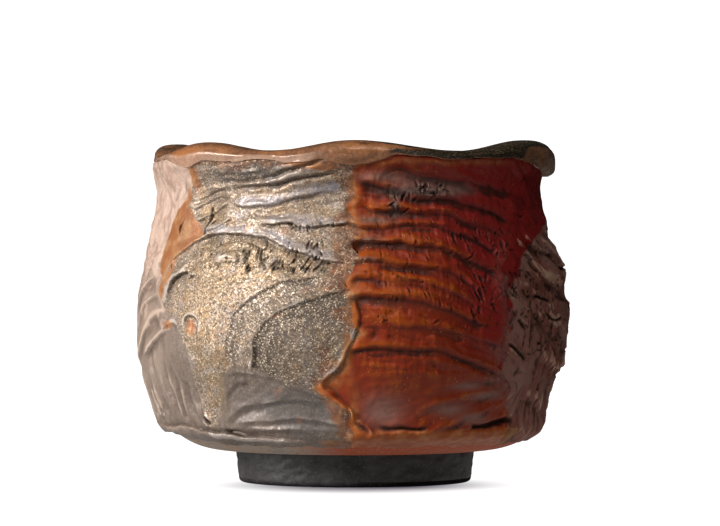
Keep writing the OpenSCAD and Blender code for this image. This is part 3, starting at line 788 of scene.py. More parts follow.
class Flow:
    """A shader socket whose arithmetic adds Math nodes."""

    def __init__(self, desk: "GlazeDesk", socket: bpy.types.NodeSocket) -> None:
        """Hold a socket of a desk's material."""
        self.desk = desk
        self.socket = socket

    def _math(self, operation: str, *terms: "Flow | float") -> "Flow":
        """Add one Math node on these terms."""
        return self.desk.node("ShaderNodeMath", {"operation": operation}, dict(enumerate(terms)))

    def __add__(self, other: "Flow | float") -> "Flow":
        """Add."""
        return self._math("ADD", self, other)

    __radd__ = __add__

    def __sub__(self, other: "Flow | float") -> "Flow":
        """Subtract."""
        return self._math("SUBTRACT", self, other)

    def __rsub__(self, other: float) -> "Flow":
        """Subtract from a number."""
        return self._math("SUBTRACT", other, self)

    def __mul__(self, other: "Flow | float") -> "Flow":
        """Multiply."""
        return self._math("MULTIPLY", self, other)

    __rmul__ = __mul__

    def band(self, low: float, high: float) -> "Flow":
        """Step smoothly from 0 at low to 1 at high."""
        return self.desk.node("ShaderNodeMapRange", {"interpolation_type": "SMOOTHSTEP"},
                              {"Value": self, "From Min": low, "From Max": high}, "Result")


class GlazeDesk:
    """Builds one procedural material."""

    def __init__(self, name: str) -> None:
        """Start an empty material with a principled surface."""
        self.material = bpy.data.materials.new(name)
        self.material.use_nodes = True
        self.tree = self.material.node_tree
        self.tree.nodes.clear()
        output = self.tree.nodes.new("ShaderNodeOutputMaterial")
        self.surface = self.tree.nodes.new("ShaderNodeBsdfPrincipled")
        self.tree.links.new(self.surface.outputs[0], output.inputs["Surface"])
        self.place = self.node("ShaderNodeTexCoord", {}, {}, "Object")

    def node(self, kind: str, settings: dict[str, object], inputs: dict[object, object],
             output: object = 0) -> Flow:
        """Add a node.

        Args:
            kind: Blender's name of the node.
            settings: its properties; stops are the positions and colours of a ramp.
            inputs: values or flows for its sockets, by name or number.
            output: name or number of the socket to hand on.

        Returns:
            The flow from that socket.
        """
        made = self.tree.nodes.new(kind)
        for key, value in settings.items():
            if key == "stops":
                ramp = made.color_ramp
                while len(ramp.elements) < len(value):
                    ramp.elements.new(0.5)
                for element, (position, colour) in zip(ramp.elements, value):
                    element.position = position
                    element.color = (*colour, 1)
            else:
                setattr(made, key, value)
        self.feed(made, inputs)
        return Flow(self, made.outputs[output])

    def feed(self, made: bpy.types.Node, inputs: dict[object, object]) -> None:
        """Set or link a node's sockets."""
        for key, value in inputs.items():
            if isinstance(value, Flow):
                self.tree.links.new(value.socket, made.inputs[key])
            elif isinstance(value, tuple) and len(value) == 3 and made.inputs[key].type == "RGBA":
                made.inputs[key].default_value = (*value, 1)
            else:
                made.inputs[key].default_value = value

    def read(self, name: str) -> Flow:
        """Read a value that the mesh carries at its points."""
        return self.node("ShaderNodeAttribute", {"attribute_name": name}, {}, "Fac")

    def noise(self, size: float, detail: float = 3, rough: float = 0.5, warp: float = 0.0) -> Flow:
        """Add noise with patches of a size in millimetres."""
        inputs = {"Vector": self.place, "Scale": 1 / (size * MM), "Detail": detail, "Roughness": rough,
                  "Distortion": warp}
        return self.node("ShaderNodeTexNoise", {}, inputs, "Fac")

    def grain_level(self, size: float) -> Flow:
        """Give each cell of a size in millimetres a level of its own."""
        inputs = {"Vector": self.place, "Scale": 1 / (size * MM)}
        cells = self.node("ShaderNodeTexVoronoi", {}, inputs, "Color")
        return self.node("ShaderNodeSeparateColor", {}, {0: cells})

    def ragged(self, value: Flow, size: float, amount: float, low: float, high: float,
               detail: float = 4) -> Flow:
        """Step a value from 0 at low to 1 at high, with an edge that noise makes uneven.

        Args:
            value: value to step.
            size: size of the noise's patches in millimetres.
            amount: how far the noise moves the value.
            low: value at which the step starts.
            high: value at which the step ends.
            detail: the noise's detail.

        Returns:
            A share from 0 to 1.
        """
        return (value + (self.noise(size, detail) - 0.5) * amount).band(low, high)

    def mottle(self, size: float, dark: Colour, pale: Colour, low: float = 0.4, high: float = 0.65) -> Flow:
        """Mix two colours in patches of a size in millimetres."""
        return self.blend(self.noise(size, 4).band(low, high), dark, pale)

    def rust(self) -> Flow:
        """Give the share of rust-red slip that shows through."""
        return self.ragged(self.read("rust"), 1.2, 0.6, 0.25, 0.7)

    def ramp(self, value: Flow, stops: tuple[tuple[float, Colour], ...]) -> Flow:
        """Turn a value into a colour."""
        return self.node("ShaderNodeValToRGB", {"stops": stops}, {0: value})

    def blend(self, share: Flow, a: "Flow | Colour", b: "Flow | Colour") -> Flow:
        """Mix two colours by a share."""
        return self.node("ShaderNodeMix", {"data_type": "RGBA", "clamp_factor": True},
                         {0: share, 6: a, 7: b}, 2)

    def bump(self, height: Flow, depth: float, strength: float = 1.0, below: "Flow | None" = None) -> Flow:
        """Turn a height into a normal.

        Args:
            height: value from 0 to 1.
            depth: height in millimetres of a value of 1.
            strength: share of the bump that shows.
            below: normal of a coarser bump under this one.

        Returns:
            The normal.
        """
        inputs = {"Height": height, "Distance": depth * MM, "Strength": strength}
        if below is not None:
            inputs["Normal"] = below
        return self.node("ShaderNodeBump", {}, inputs)

    def fire(self, **sockets: object) -> bpy.types.Material:
        """Set the principled surface's sockets and give the material."""
        for key, value in sockets.items():
            self.feed(self.surface, {key.replace("_", " ").title().replace("Ior", "IOR"): value})
        return self.material


@dataclass(frozen=True)
class SilverGlaze:
    """Granular silver-bronze lustre, gold where it is thick, grey and smooth where the blade pressed it."""

    name: str = "silver_bronze_glaze"
    bronze: Colour = (0.275, 0.203, 0.152)
    gold: Colour = (0.280, 0.193, 0.115)
    lavender: Colour = (0.27, 0.255, 0.285)
    slate: Colour = (0.118, 0.100, 0.092)
    umber: Colour = (0.064, 0.047, 0.036)
    tan: Colour = (0.235, 0.172, 0.136)
    ochre: Colour = (0.36, 0.215, 0.095)
    mist: Colour = (0.32, 0.30, 0.315)
    shade: Colour = (0.105, 0.074, 0.058)
    ridge_highlight: Colour = (0.46, 0.38, 0.33)
    bleed_dark: Colour = (0.17, 0.065, 0.035)
    bleed_pale: Colour = (0.29, 0.115, 0.045)
    grain_dark: Colour = (0.058, 0.041, 0.031)
    grain_pale: Colour = (0.47, 0.375, 0.275)
    glint: Colour = (0.78, 0.68, 0.53)
    edge: Colour = (0.62, 0.54, 0.48)
    rust_edge: Colour = (0.58, 0.27, 0.11)
    crack: Colour = (0.02, 0.013, 0.010)
    grain_size: float = 0.22
    glint_size: float = 0.17

    def make(self) -> bpy.types.Material:
        """Give the material."""
        d = GlazeDesk(self.name)
        crest, hollow, polish, tone = d.read("crest"), d.read("hollow"), d.read("polish"), d.read("tone")
        taupe, slate, gold = d.read("taupe"), d.read("slate"), d.read("gold")
        silt = (d.read("silt") + (d.noise(1.8, 5, 0.6) - 0.5) * 1.1).band(0.3, 0.7)
        rust = d.rust()
        speck, spark = d.grain_level(self.grain_size), d.grain_level(self.glint_size)
        sand = (1 - polish * 0.5) * (1 - rust * 0.7) * (1 - silt * 0.75)
        tint = d.blend(d.ragged(gold, 3.5, 0.8, 0.2, 0.8), self.bronze, self.gold)
        # Slate in patches, and in the hollows as painted shade.
        tint = d.blend(d.ragged(slate + hollow * 0.3, 4, 0.6, 0.3, 0.9), tint, self.slate)
        # Lavender on polished bands: partly smoothed slip, partly painted highlight on a mark's upper side.
        tint = d.blend(d.ragged(polish, 2.0, 0.5, 0.3, 0.9, 3) * 0.9, tint, self.lavender)
        tint = d.blend(d.noise(2.4, 5, 0.6, 0.6).band(0.46, 0.64) * 0.55 * sand, tint, self.ochre)
        tint = d.blend(d.noise(3.3, 5, 0.6, 0.9).band(0.52, 0.68) * 0.5 * sand, tint, self.mist)
        tint = d.blend(d.noise(1.7, 5, 0.6, 0.4).band(0.55, 0.70) * 0.45 * sand, tint, self.umber)
        ground = d.blend(taupe, self.tan, TAUPE)
        # Painted shade in the silt's hollows; ridge_highlight on its crests is partly painted highlight.
        ground = d.blend(d.ragged(hollow, 2.5, 0.8, 0.1, 0.9) * (0.3 + taupe * 0.45), ground, self.shade)
        ground = d.blend(d.ragged(crest, 3, 0.4, 0.35, 0.9, 3) * 0.5, ground, self.ridge_highlight)
        ground = d.blend(gold.band(0.3, 0.8) * 0.6, ground, self.gold)
        tint = d.blend(silt, tint, d.blend(slate, ground, self.slate))
        # Painted shade: umber in the hollows.
        tint = d.blend(hollow.band(0.25, 1.0) * (1 - silt) * 0.4, tint, self.umber)
        # Painted shade: umber along the trail past each mark's edge.
        tint = d.blend(tone, tint, self.umber)
        tint = d.blend(rust, tint, d.mottle(2.0, RUST, RUST_PALE))
        tint = d.blend(d.read("bleed") * 0.9, tint, d.mottle(1.5, self.bleed_dark, self.bleed_pale))
        tint = d.blend((1 - speck).band(0.45, 0.95) * 0.66 * sand, tint, self.grain_dark)
        tint = d.blend(speck.band(0.6, 1.0) * (0.46 + tone * 0.34) * sand, tint, self.grain_pale)
        tint = d.blend(spark.band(0.9, 0.97) * (0.6 + tone * 0.4) * sand, tint, self.glint)
        # Pale crest edges, orange where rust shows: partly glaze breaking over crests, partly painted
        # highlight.
        edge = d.blend(rust, self.edge, self.rust_edge)
        tint = d.blend(crest.band(0.45, 1.0) * (0.55 - polish * 0.25), tint, edge)
        # Near black in cracks and groove shade lines: partly dark clay, partly painted shade.
        tint = d.blend(d.read("crack"), tint, self.crack)
        normal = d.bump(speck * sand, 0.07, 0.6, d.bump(d.noise(0.8, 4), 0.12, 0.6))
        return d.fire(base_color=tint, metallic=(0.25 + speck * 0.25) * (1 - silt * 0.7),
                      roughness=0.42 + (1 - speck) * 0.25 - polish * 0.08, normal=normal)


@dataclass(frozen=True)
class RedGlaze:
    """Waxy red glaze, amber on its crests and crimson in pools, with painted shade in its hollows."""

    name: str = "red_amber_glaze"
    red: Colour = (0.235, 0.025, 0.006)
    amber: Colour = (0.32, 0.058, 0.005)
    crimson: Colour = (0.275, 0.018, 0.015)
    umber: Colour = (0.055, 0.014, 0.009)
    plum: Colour = (0.260, 0.135, 0.108)
    ash_dark: Colour = (0.05, 0.030, 0.024)
    ash_pale: Colour = (0.20, 0.145, 0.125)
    glint: Colour = (0.55, 0.25, 0.08)
    seam_dark: Colour = (0.36, 0.095, 0.020)
    seam_pale: Colour = (0.50, 0.20, 0.07)
    crack: Colour = (0.018, 0.008, 0.006)
    glint_size: float = 0.15
    sheen: float = 0.26

    def make(self) -> bpy.types.Material:
        """Give the material."""
        d = GlazeDesk(self.name)
        crest, hollow, pool, ash = d.read("crest"), d.read("hollow"), d.read("pool"), d.read("ash")
        crack = d.read("crack")
        # Amber on crests is partly glaze breaking, partly painted highlight; hollows lose amber as painted
        # shade.
        level = d.noise(3, 5) * 0.7 + crest * 0.5 - hollow * 0.35 + d.read("gold") * 0.3
        level = level - pool * 0.45 + d.read("streak") * 0.22
        tint = d.blend(level.band(0.3, 0.95), self.red, self.amber)
        tint = d.blend(d.ragged(pool - crest * 0.3, 4, 0.5, 0.3, 0.95, 3), tint, self.crimson)
        # Painted shade: umber in the hollows.
        tint = d.blend(hollow.band(0.2, 0.9) * 0.85, tint, self.umber)
        tint = d.blend(d.read("plum") * (0.6 + d.noise(1.6, 4) * 0.6), tint, self.plum)
        tint = d.blend(ash, tint, d.ramp(d.noise(0.8, 4), ((0.3, self.ash_dark), (0.7, self.ash_pale))))
        spark = d.grain_level(self.glint_size).band(0.95, 0.98) * d.noise(3.0).band(0.45, 0.65)
        tint = d.blend(spark * 0.8, tint, self.glint)
        tint = d.blend(d.read("rust") * 0.8, tint, d.mottle(1.5, self.seam_dark, self.seam_pale, 0.4, 0.7))
        # Near black in cracks and groove shade lines: partly dark clay, partly painted shade.
        tint = d.blend(crack * 0.85, tint, self.crack)
        normal = d.bump(d.noise(0.3, 3), 0.03, 0.5, d.bump(d.noise(1.2, 4), 0.12, 0.5))
        return d.fire(base_color=tint, metallic=spark * 0.6, specular_ior_level=self.sheen, normal=normal,
                      roughness=0.36 + d.noise(1.0) * 0.14 + ash * 0.2 + crack * 0.5)


@dataclass(frozen=True)
class MattGlaze:
    """Dry glaze on rough slip: run-over glaze blushes it, pale pink and painted highlight on the left."""

    name: str
    body: Colour
    pale: Colour
    deep: Colour
    edge: Colour
    blush: Colour
    stain: Colour
    rough: float
    grit: float
    sheen: float
    mottle: float
    crack: Colour = (0.014, 0.009, 0.007)
    grain_size: float = 0.3

    def make(self) -> bpy.types.Material:
        """Give the material."""
        d = GlazeDesk(self.name)
        crest, hollow, taupe = d.read("crest"), d.read("hollow"), d.read("taupe")
        blush, flake = d.read("blush"), d.read("flake")
        tint = d.blend(taupe, d.blend(d.noise(7, 5).band(0.35, 0.7), self.body, self.pale), TAUPE)
        # Painted shade: the deep colour in the hollows.
        tint = d.blend(d.ragged(hollow, 2.5, 1.0, 0.1, 0.9) * 0.75, tint, self.deep)
        # Pale edge on the crests: partly glaze breaking there, partly painted highlight.
        tint = d.blend(d.ragged(crest, 3, 0.6, 0.45, 1.0, 3) * (0.7 - taupe * 0.5), tint, self.edge)
        speck = d.grain_level(self.grain_size)
        tint = d.blend(speck.band(0.8, 1.0) * 0.3, tint, self.pale)
        flow = (blush + (d.noise(2.2, 5, 0.55, 0.6) - 0.5) * self.mottle).band(0.3, 0.75)
        # Blush: red run-over flow on the right, and on the tan glaze a pale painted highlight high on the
        # left.
        tint = d.blend(flow, tint, self.blush)
        tint = d.blend(blush * d.noise(2.6, 5, 0.6, 0.8).band(0.48, 0.62) * 0.8, tint, self.stain)
        chips = d.ragged(flake * 0.5 + crest * 0.6, 0.9, 0.8, 0.55, 0.75) * flake * 0.7
        tint = d.blend(chips, tint, self.edge)
        tint = d.blend(d.rust(), tint, d.mottle(2.0, RUST, RUST_PALE))
        # Near black in cracks and groove shade lines: partly dark clay, partly painted shade.
        tint = d.blend(d.read("crack"), tint, self.crack)
        normal = d.bump(speck, 0.03, self.grit, d.bump(d.noise(0.9, 5, 0.6), 0.16, self.grit))
        return d.fire(base_color=tint, roughness=self.rough + (speck - 0.5) * 0.15,
                      specular_ior_level=self.sheen, normal=normal)


@dataclass(frozen=True)
class CopperGlaze:
    """Smooth copper-brown glaze with dark runs, for the lip, the lining and the underside."""

    name: str
    body: Colour = (0.185, 0.080, 0.040)
    warm: Colour = (0.33, 0.140, 0.058)
    dark: Colour = (0.030, 0.021, 0.010)
    blush: Colour = (0.40, 0.15, 0.05)
    pink: Colour = (0.46, 0.29, 0.21)
    cloud: Colour = (0.085, 0.040, 0.020)
    grain: Colour = (0.46, 0.31, 0.19)
    gloss: float = 0.16
    speckle: float = 0.3
    sheen: float = 0.6
    grain_size: float = 0.22

    def make(self) -> bpy.types.Material:
        """Give the material."""
        d = GlazeDesk(self.name)
        tint = d.blend(d.noise(4, 5, 0.6).band(0.4, 0.65), self.body, self.warm)
        tint = d.blend(d.noise(2.4, 5, 0.6, 0.5).band(0.55, 0.75) * 0.6, tint, self.cloud)
        tint = d.blend(d.read("warm"), tint, self.blush)
        # Pink: partly the glaze's own colour, partly a painted highlight along the lip's lower part.
        tint = d.blend(d.ragged(d.read("pink"), 1.8, 0.6, 0.35, 0.85) * 0.8, tint, self.pink)
        tint = d.blend(d.ragged(d.read("run"), 1.5, 0.5, 0.3, 0.7), tint, self.dark)
        speck = d.grain_level(self.grain_size)
        tint = d.blend(speck.band(0.75, 1.0) * self.speckle, tint, self.grain)
        tint = d.blend((1 - speck).band(0.8, 1.0) * self.speckle, tint, self.dark)
        normal = d.bump(speck, 0.02, 0.4, d.bump(d.noise(1.5, 4), 0.3, 0.6))
        return d.fire(base_color=tint, roughness=self.gloss + d.noise(2) * 0.22, metallic=0.1,
                      specular_ior_level=self.sheen, normal=normal)


@dataclass(frozen=True)
class BareClay:
    """Dark fired clay with grit and pits."""

    name: str = "bare_foot_clay"
    clay: Colour = (0.018, 0.0150, 0.0165)
    pale: Colour = (0.046, 0.040, 0.044)
    grit_pale: Colour = (0.10, 0.085, 0.08)
    grit_dark: Colour = (0.012, 0.01, 0.009)
    grain_size: float = 0.28

    def make(self) -> bpy.types.Material:
        """Give the material."""
        d = GlazeDesk(self.name)
        speck = d.grain_level(self.grain_size)
        tint = d.blend(d.noise(3.5, 5).band(0.35, 0.75), self.clay, self.pale)
        tint = d.blend(speck.band(0.78, 1.0) * 0.4, tint, self.grit_pale)
        tint = d.blend((1 - speck).band(0.82, 1.0) * 0.8, tint, self.grit_dark)
        normal = d.bump(speck, 0.04, 0.5, d.bump(d.noise(0.8, 5, 0.6), 0.12, 0.6))
        return d.fire(base_color=tint, roughness=0.52 + speck * 0.15, metallic=0.0, normal=normal)


def clear_selection() -> None:
    """Leave edit mode and deselect everything."""
    if bpy.context.object and bpy.context.object.mode != "OBJECT":
        bpy.ops.object.mode_set(mode="OBJECT")
    bpy.ops.object.select_all(action="DESELECT")


@contextmanager
def editing(inward: bool = False) -> Iterator[None]:
    """Edit the whole active mesh, and turn its faces outward or inward at the end."""
    bpy.ops.object.mode_set(mode="EDIT")
    bpy.ops.mesh.select_all(action="SELECT")
    yield
    bpy.ops.mesh.select_all(action="SELECT")
    bpy.ops.mesh.normals_make_consistent(inside=inward)
    bpy.ops.object.mode_set(mode="OBJECT")


def points_of(piece: bpy.types.Object) -> np.ndarray:
    """Give a mesh's points as rows of x, y and z."""
    flat = np.empty(len(piece.data.vertices) * 3)
    piece.data.vertices.foreach_get("co", flat)
    return flat.reshape(-1, 3)


def move_points(piece: bpy.types.Object, points: np.ndarray) -> None:
    """Put a mesh's points at new places."""
    piece.data.vertices.foreach_set("co", np.ascontiguousarray(points, dtype=float).ravel())
    piece.data.update()


def carry(piece: bpy.types.Object, name: str, values: np.ndarray) -> None:
    """Let a mesh carry a value at each point."""
    layer = piece.data.attributes.new(name, "FLOAT", "POINT")
    layer.data.foreach_set("value", np.ascontiguousarray(values, dtype=np.float32))


def polar(r: np.ndarray, a: np.ndarray, z: np.ndarray) -> np.ndarray:
    """Turn radius, angle from the front and height, in millimetres and degrees, into places in metres."""
    t = np.radians(a)
    return np.column_stack([r * np.sin(t), -r * np.cos(t), z]) * MM


def finish_piece(piece: bpy.types.Object, name: str, node: str, material: bpy.types.Material,
                 angle: float) -> None:
    """Name, shade and dress a piece, and let it stand for its node.

    Args:
        piece: the finished mesh's object.
        name: the piece's name.
        node: the node that it replaces.
        material: its finish.
        angle: edges sharper than this, in degrees, stay crisp.
    """
    clear_selection()
    piece.select_set(True)
    bpy.context.view_layer.objects.active = piece
    bpy.ops.object.shade_smooth_by_angle(angle=math.radians(angle))
    piece.name = piece.data.name = name
    piece.data.materials.clear()
    piece.data.materials.append(material)
    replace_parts(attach(piece, "root"), node)
    LOG.info("%s: %d faces", name, len(piece.data.polygons))


SPOTS: dict[str, tuple[Spot, ...]] = {
    "gold": (
        (-46, 41.5, 9, 3), (-38, 36, 14, 4), (-22, 35.5, 10, 2.5), (-40, 31, 6, 4), (-14, 42.5, 12, 1.5),
        (-41, 18, 4, 7), (-46, 26, 6, 6), (-8, 8.5, 8, 1.2), (6, 33, 16, 8), (4, 42, 8, 4),
        (150, 30, 25, 10)),
    # Slate patches; the one under the lip is painted shade beneath its overhang.
    "slate": ((-30, 49.5, 18, 1.8), (-22, 13.5, 13, 4), (-12, 11, 8, 4), (150, 16, 20, 5)),
    "rust": (
        (-61, 31.2, 1.8, 1.8), (-58, 33.4, 1.8, 1.4), (-57, 25.6, 3, 0.8), (-47.4, 25.3, 2.2, 1.6),
        (-52, 49, 2.4, 3.0), (-56, 45.5, 1.6, 2.0), (-1, 43, 1.2, 4), (-1, 31, 1.8, 1.5), (-6, 17, 2.6, 1.3),
        (-2, 22, 1.2, 4), (0, 12.5, 1.2, 3.5), (-14, 50.8, 8, 0.8), (-8, 50.0, 5, 0.6), (-7, 7.4, 4, 0.8)),
    "plum": (
        (8, 48.6, 9, 0.8), (20, 47.3, 9, 0.9), (30, 46.6, 7, 0.8), (8, 12.5, 6, 2.6), (28, 12.6, 6, 0.9),
        (37, 11.0, 6, 0.9), (40, 14.6, 5, 0.7), (33, 16.2, 5, 0.6), (215, 46, 20, 2.0), (225, 14, 20, 2.0)),
    "ash": (
        (22, 46.2, 8, 0.9), (11.5, 44.2, 1.6, 2.0), (5, 41.9, 6, 0.6), (3, 38.9, 5, 0.5), (2, 35.9, 4, 0.4),
        (14, 46.4, 6, 0.5), (46, 31, 3, 4), (-150, 30, 12, 6)),
    "flake": (
        (52.5, 38.5, 1.2, 1.6), (57, 39.5, 1.2, 1.0), (58, 35.5, 1.6, 0.8), (62, 33.6, 2.5, 0.8),
        (60, 30, 6, 2.0), (66, 26, 6, 2.5), (80, 24, 6, 2.0), (104, 33, 4, 2.0)),
}


@dataclass(frozen=True)
class PanelPlaces:
    """Where a panel's points lie, and what its finish makes of them.

    Inset is the angle from the nearer border, under_hem the height below the lip's lower edge, and wander and
    runs are smooth noise. Each spot of a glow is an angle, a height and its half widths in both.
    """

    a: np.ndarray
    z: np.ndarray
    inset: np.ndarray
    under_hem: np.ndarray
    wander: np.ndarray
    runs: np.ndarray

    def glow(self, name: str) -> np.ndarray:
        """Sum the soft spots of one kind."""
        spots = [np.exp(-((self.a - p) / w) ** 2 - ((self.z - q) / t) ** 2) for p, q, w, t in SPOTS[name]]
        return np.clip(sum(spots), 0, 1)

    def within(self, low: float, high: float) -> np.ndarray:
        """Tell which points lie between two angles."""
        return (self.a > low) & (self.a < high)

    def silt(self, shore: Path) -> np.ndarray:
        """Give the smooth silt below a shore line, which has a softer edge on its left."""
        soft = 0.5 + 2.6 * ease(-40, -43, self.a)
        above = self.z - follow(shore, self.a) + 0.7 * self.wander
        return ease(0.5, -0.5, above / (2 * soft)) * (self.a > -70) * ease(-2, -4, self.a)

    def taupe(self) -> np.ndarray:
        """Give the taupe wash low on the left."""
        wash = np.maximum(ease(-76, -44, self.a) * ease(31, 24, self.z), 0.75 * ease(24, 13, self.z))
        return wash * self.within(-120, -30)

    def rust(self) -> np.ndarray:
        """Give the rust-red slip along the hem, along the lip's seam, on the front border and in spots."""
        hem = 0.75 * ease(9.9, 9.1, self.z) * ease(-4, -1, self.a) * ease(60, 55, self.a)
        seam = 0.75 * hump(self.under_hem, 0.7, 0.4) * ease(3, 8, self.a) * ease(52, 44, self.a)
        rim = hump(self.inset, 0, 1.5 + 0.5 * self.runs) * self.within(-16, 16)
        rim = rim * (0.9 * ease(33, 29, self.z) + ease(29, 33, self.z) * ease(-0.3, 0.5, self.runs))
        return hem + seam + rim + 0.9 * self.glow("rust")

    def bleed(self) -> np.ndarray:
        """Give the red that bleeds into the silver glaze at the front border, and under the lip."""
        side = ease(-0.1, 0.8, 1.2 * self.runs + ease(-12, -0.5, self.a) * 1.5 - 0.75) * self.within(-24, 3)
        return np.maximum(side, 0.75 * ease(1.8, 0.2, self.under_hem + 0.9 * self.runs))

    def pool(self) -> np.ndarray:
        """Give the crimson pools, which grow to the right and thin out low down."""
        front = ease(6, 44, self.a + 0.5 * (self.z - 32)) * (self.a < 110)
        return (front + 0.5 * (self.a >= 110) + 0.35 * (self.a < -90)) * (1 - 0.75 * ease(24, 14, self.z))

    def ash(self) -> np.ndarray:
        """Give the ash on the bark-like right end of the red glaze, and in spots."""
        bark = ease(37, 46, self.a + 3 * self.wander) * (self.a < 60)
        bark = bark * ease(13, 17, self.z) * ease(37, 33, self.z + 0.25 * (self.a - 45))
        return 0.65 * bark + 0.85 * (1 - bark) * self.glow("ash")

    def blush(self, edge: Path) -> np.ndarray:
        """Give the red flow over the right panel up to an edge, and a painted highlight high on the left."""
        flow = ease(3, -3, self.a - follow(edge, self.z) + 3 * self.wander)
        # The pale wash is partly pink glaze, partly a painted highlight on the upper left.
        wash = (0.35 + 0.4 * ease(31, 38, self.z)) * ease(22, 26, self.z) * (self.a < -45)
        return flow * (self.a > 0) * ease(108, 84, self.a) + wash


@dataclass
class SlipPanel:
    """One trowelled panel of slip, between two corner lines.

    The front is a grid of cells, each cut as often as cuts says. Its slip reaches no further out than reach,
    with left_reach more on the left side of the cup, and grip is how sharply it stops there. The lower edge
    hangs hem_drop below the skirt and turns in by tuck. One border runs out in a tongue. Shore is the upper
    edge of the smooth silt by angle, and blush_edge the end of the red flow by height.
    """

    form: CupForm
    relief: SlipRelief
    number: int
    name: str
    slot: str
    cells: tuple[int, int] = (12, 14)
    cuts: int = 15
    reach: float = 34.8
    left_reach: float = 0.5
    left_side: Span = (-93, 30)
    grip: float = 9.0
    ragged: tuple[float, ...] = (1.4, 1.9, 3.2, 0.6, 0.6, 0.6)
    wander: tuple[float, ...] = (0.0, 0.0, 0.0, 1.5, 1.5, 1.5)
    tongue_border: int = 1
    tongue_out: float = 8.0
    tongue: Span = (17.2, 2.6)
    hem_drop: float = 2.2
    hem_torn: float = 0.3
    hem_rise: float = 1.5
    hem_rise_at: Span = (-76, 22)
    hem_back: float = 0.8
    tuck: Path = ((6.2, 4.4), (6.8, 3.0), (7.6, 1.7), (8.3, 0.8), (9.6, 0.0))
    below_lip: float = 1.5
    under_lip: float = 0.3
    seat: float = 0.3
    crisp: float = 50
    shore: Path = (
        (-60, 29), (-53, 26), (-49.5, 22.5), (-47.5, 11), (-43, 10), (-40.5, 14), (-38, 18.3), (-31, 18.8),
        (-26, 18.4), (-21, 17.5), (-15, 16), (-10, 15), (-6, 14), (-3, 11))
    blush_edge: Path = (
        (9, 46), (14, 44.5), (20, 44), (24, 43), (27, 43), (31, 45), (36, 52), (38, 58), (40, 66), (42, 84),
        (44, 110))

    def slab(self) -> bpy.types.Object:
        """Roll out a flat slab with a fine front and a coarse back.

        Returns:
            The slab's object: x and y run from 0 to 1, and z is 0 at its back and 1 at its front.
        """
        clear_selection()
        bpy.ops.mesh.primitive_grid_add(x_subdivisions=self.cells[0], y_subdivisions=self.cells[1], size=1,
                                        location=(0.5, 0.5, 0))
        bpy.ops.object.transform_apply(location=True)
        with editing():
            bpy.ops.mesh.extrude_region_move(TRANSFORM_OT_translate={"value": (0, 0, 1)})
            bpy.ops.mesh.subdivide(number_cuts=self.cuts)
        return bpy.context.object

    def border(self, k: int, h: np.ndarray, z: np.ndarray) -> np.ndarray:
        """Give a border's angle, with the ragged edge that the glaze has there."""
        line = self.form.corner_line(k, h)
        i = k % len(self.form.corners_lip)
        edge = self.ragged[i] * np.sin(z * 0.9 + i) * np.sin(z * 0.37 + 2 * i) + 0.4 * np.sin(z * 2.3 + 1)
        edge = edge + self.wander[i] * (np.sin(z * 0.31 + i) + 0.45 * np.sin(z * 0.83 + 2 * i))
        if i == self.tongue_border:
            edge = edge - self.tongue_out * hump(z, *self.tongue)
        return line + edge * ease(0, 0.06, h) * ease(1, 0.94, h)

    def build(self, material: bpy.types.Material) -> None:
        """Wrap the slab round the clay, give it its strokes and dress it in a material."""
        form, relief = self.form, self.relief
        piece = self.slab()
        u, h, front = points_of(piece).T
        z = form.skirt_h + h * (form.rim_h - form.lip_roll_h - form.skirt_h)
        left, right = self.border(self.number, h, z), self.border(self.number + 1, h, z)
        a = left + (right - left) * u
        turned = around(a)
        torn = 0.45 * np.sin(a * 0.31) + 0.35 * np.sin(a * 0.83 + 1) + 0.2 * np.sin(a * 2.3)
        low = form.skirt_h - self.hem_drop + self.hem_torn * torn
        low = low + self.hem_rise * hump(turned, *self.hem_rise_at)
        low = low + self.hem_back * ease(70, 110, np.abs(turned))
        high = form.rim_z(a) - self.below_lip
        z = low + h * (high - low)
        clay = form.clay_r(z)
        outer = clay + relief.read(relief.thickness, a, z) - follow(self.tuck, z)
        side, width = self.left_side
        reach = self.reach + self.left_reach * hump(around(a - side), 0, width)
        under_lip = form.lip_r(a) - self.under_lip
        outer = outer + ease(-0.1, 0.3, z - form.hem_z(a)) * (np.minimum(outer, under_lip) - outer)
        outer = reach - np.logaddexp(0, (reach - outer) * self.grip) / self.grip
        inner = np.where(z < form.skirt_h, np.minimum(clay, form.underside_r(z)), clay) - self.seat
        move_points(piece, polar(np.where(front > 0.5, outer, inner), a, z))
        self.tell(piece, a, z, np.where(u > 0.5, right - a, a - left))
        finish_piece(piece, self.name + "_skin", self.name, material, self.crisp)

    def tell(self, piece: bpy.types.Object, a: np.ndarray, z: np.ndarray, inset: np.ndarray) -> None:
        """Let the mesh carry what its finish needs to know.

        Args:
            piece: the panel's object.
            a: angle of each point.
            z: height of each point.
            inset: angle between each point and the nearer border.
        """
        relief = self.relief

        def patches(across: float, up: float, octaves: int, seed: int) -> np.ndarray:
            """Read smooth noise at each point."""
            return relief.read(relief.noise(across, up, octaves, seed), a, z)

        places = PanelPlaces(around(a), z, inset, self.form.hem_z(a) - z, patches(3, 3, 3, 51),
                             patches(2.4, 2.0, 3, 53))
        # Crest and hollow feed painted highlight and painted shade; crack also holds lines of painted shade.
        grids = {"crest": relief.crest, "hollow": relief.hollow, "polish": relief.polish, "tone": relief.tone,
                 "crack": relief.cracks}
        told = {name: relief.read(values, a, z) for name, values in grids.items()}
        told |= {name: places.glow(name) for name in ("gold", "slate", "plum")}
        told |= {"silt": places.silt(self.shore), "taupe": places.taupe(), "bleed": places.bleed(),
                 "rust": places.rust() + relief.read(relief.facet, a, z), "pool": places.pool(),
                 "ash": places.ash(), "blush": places.blush(self.blush_edge),
                 "flake": places.glow("flake") * (places.a > 45), "streak": patches(0.8, 4.5, 2, 52)}
        for name, values in told.items():
            carry(piece, name, values)


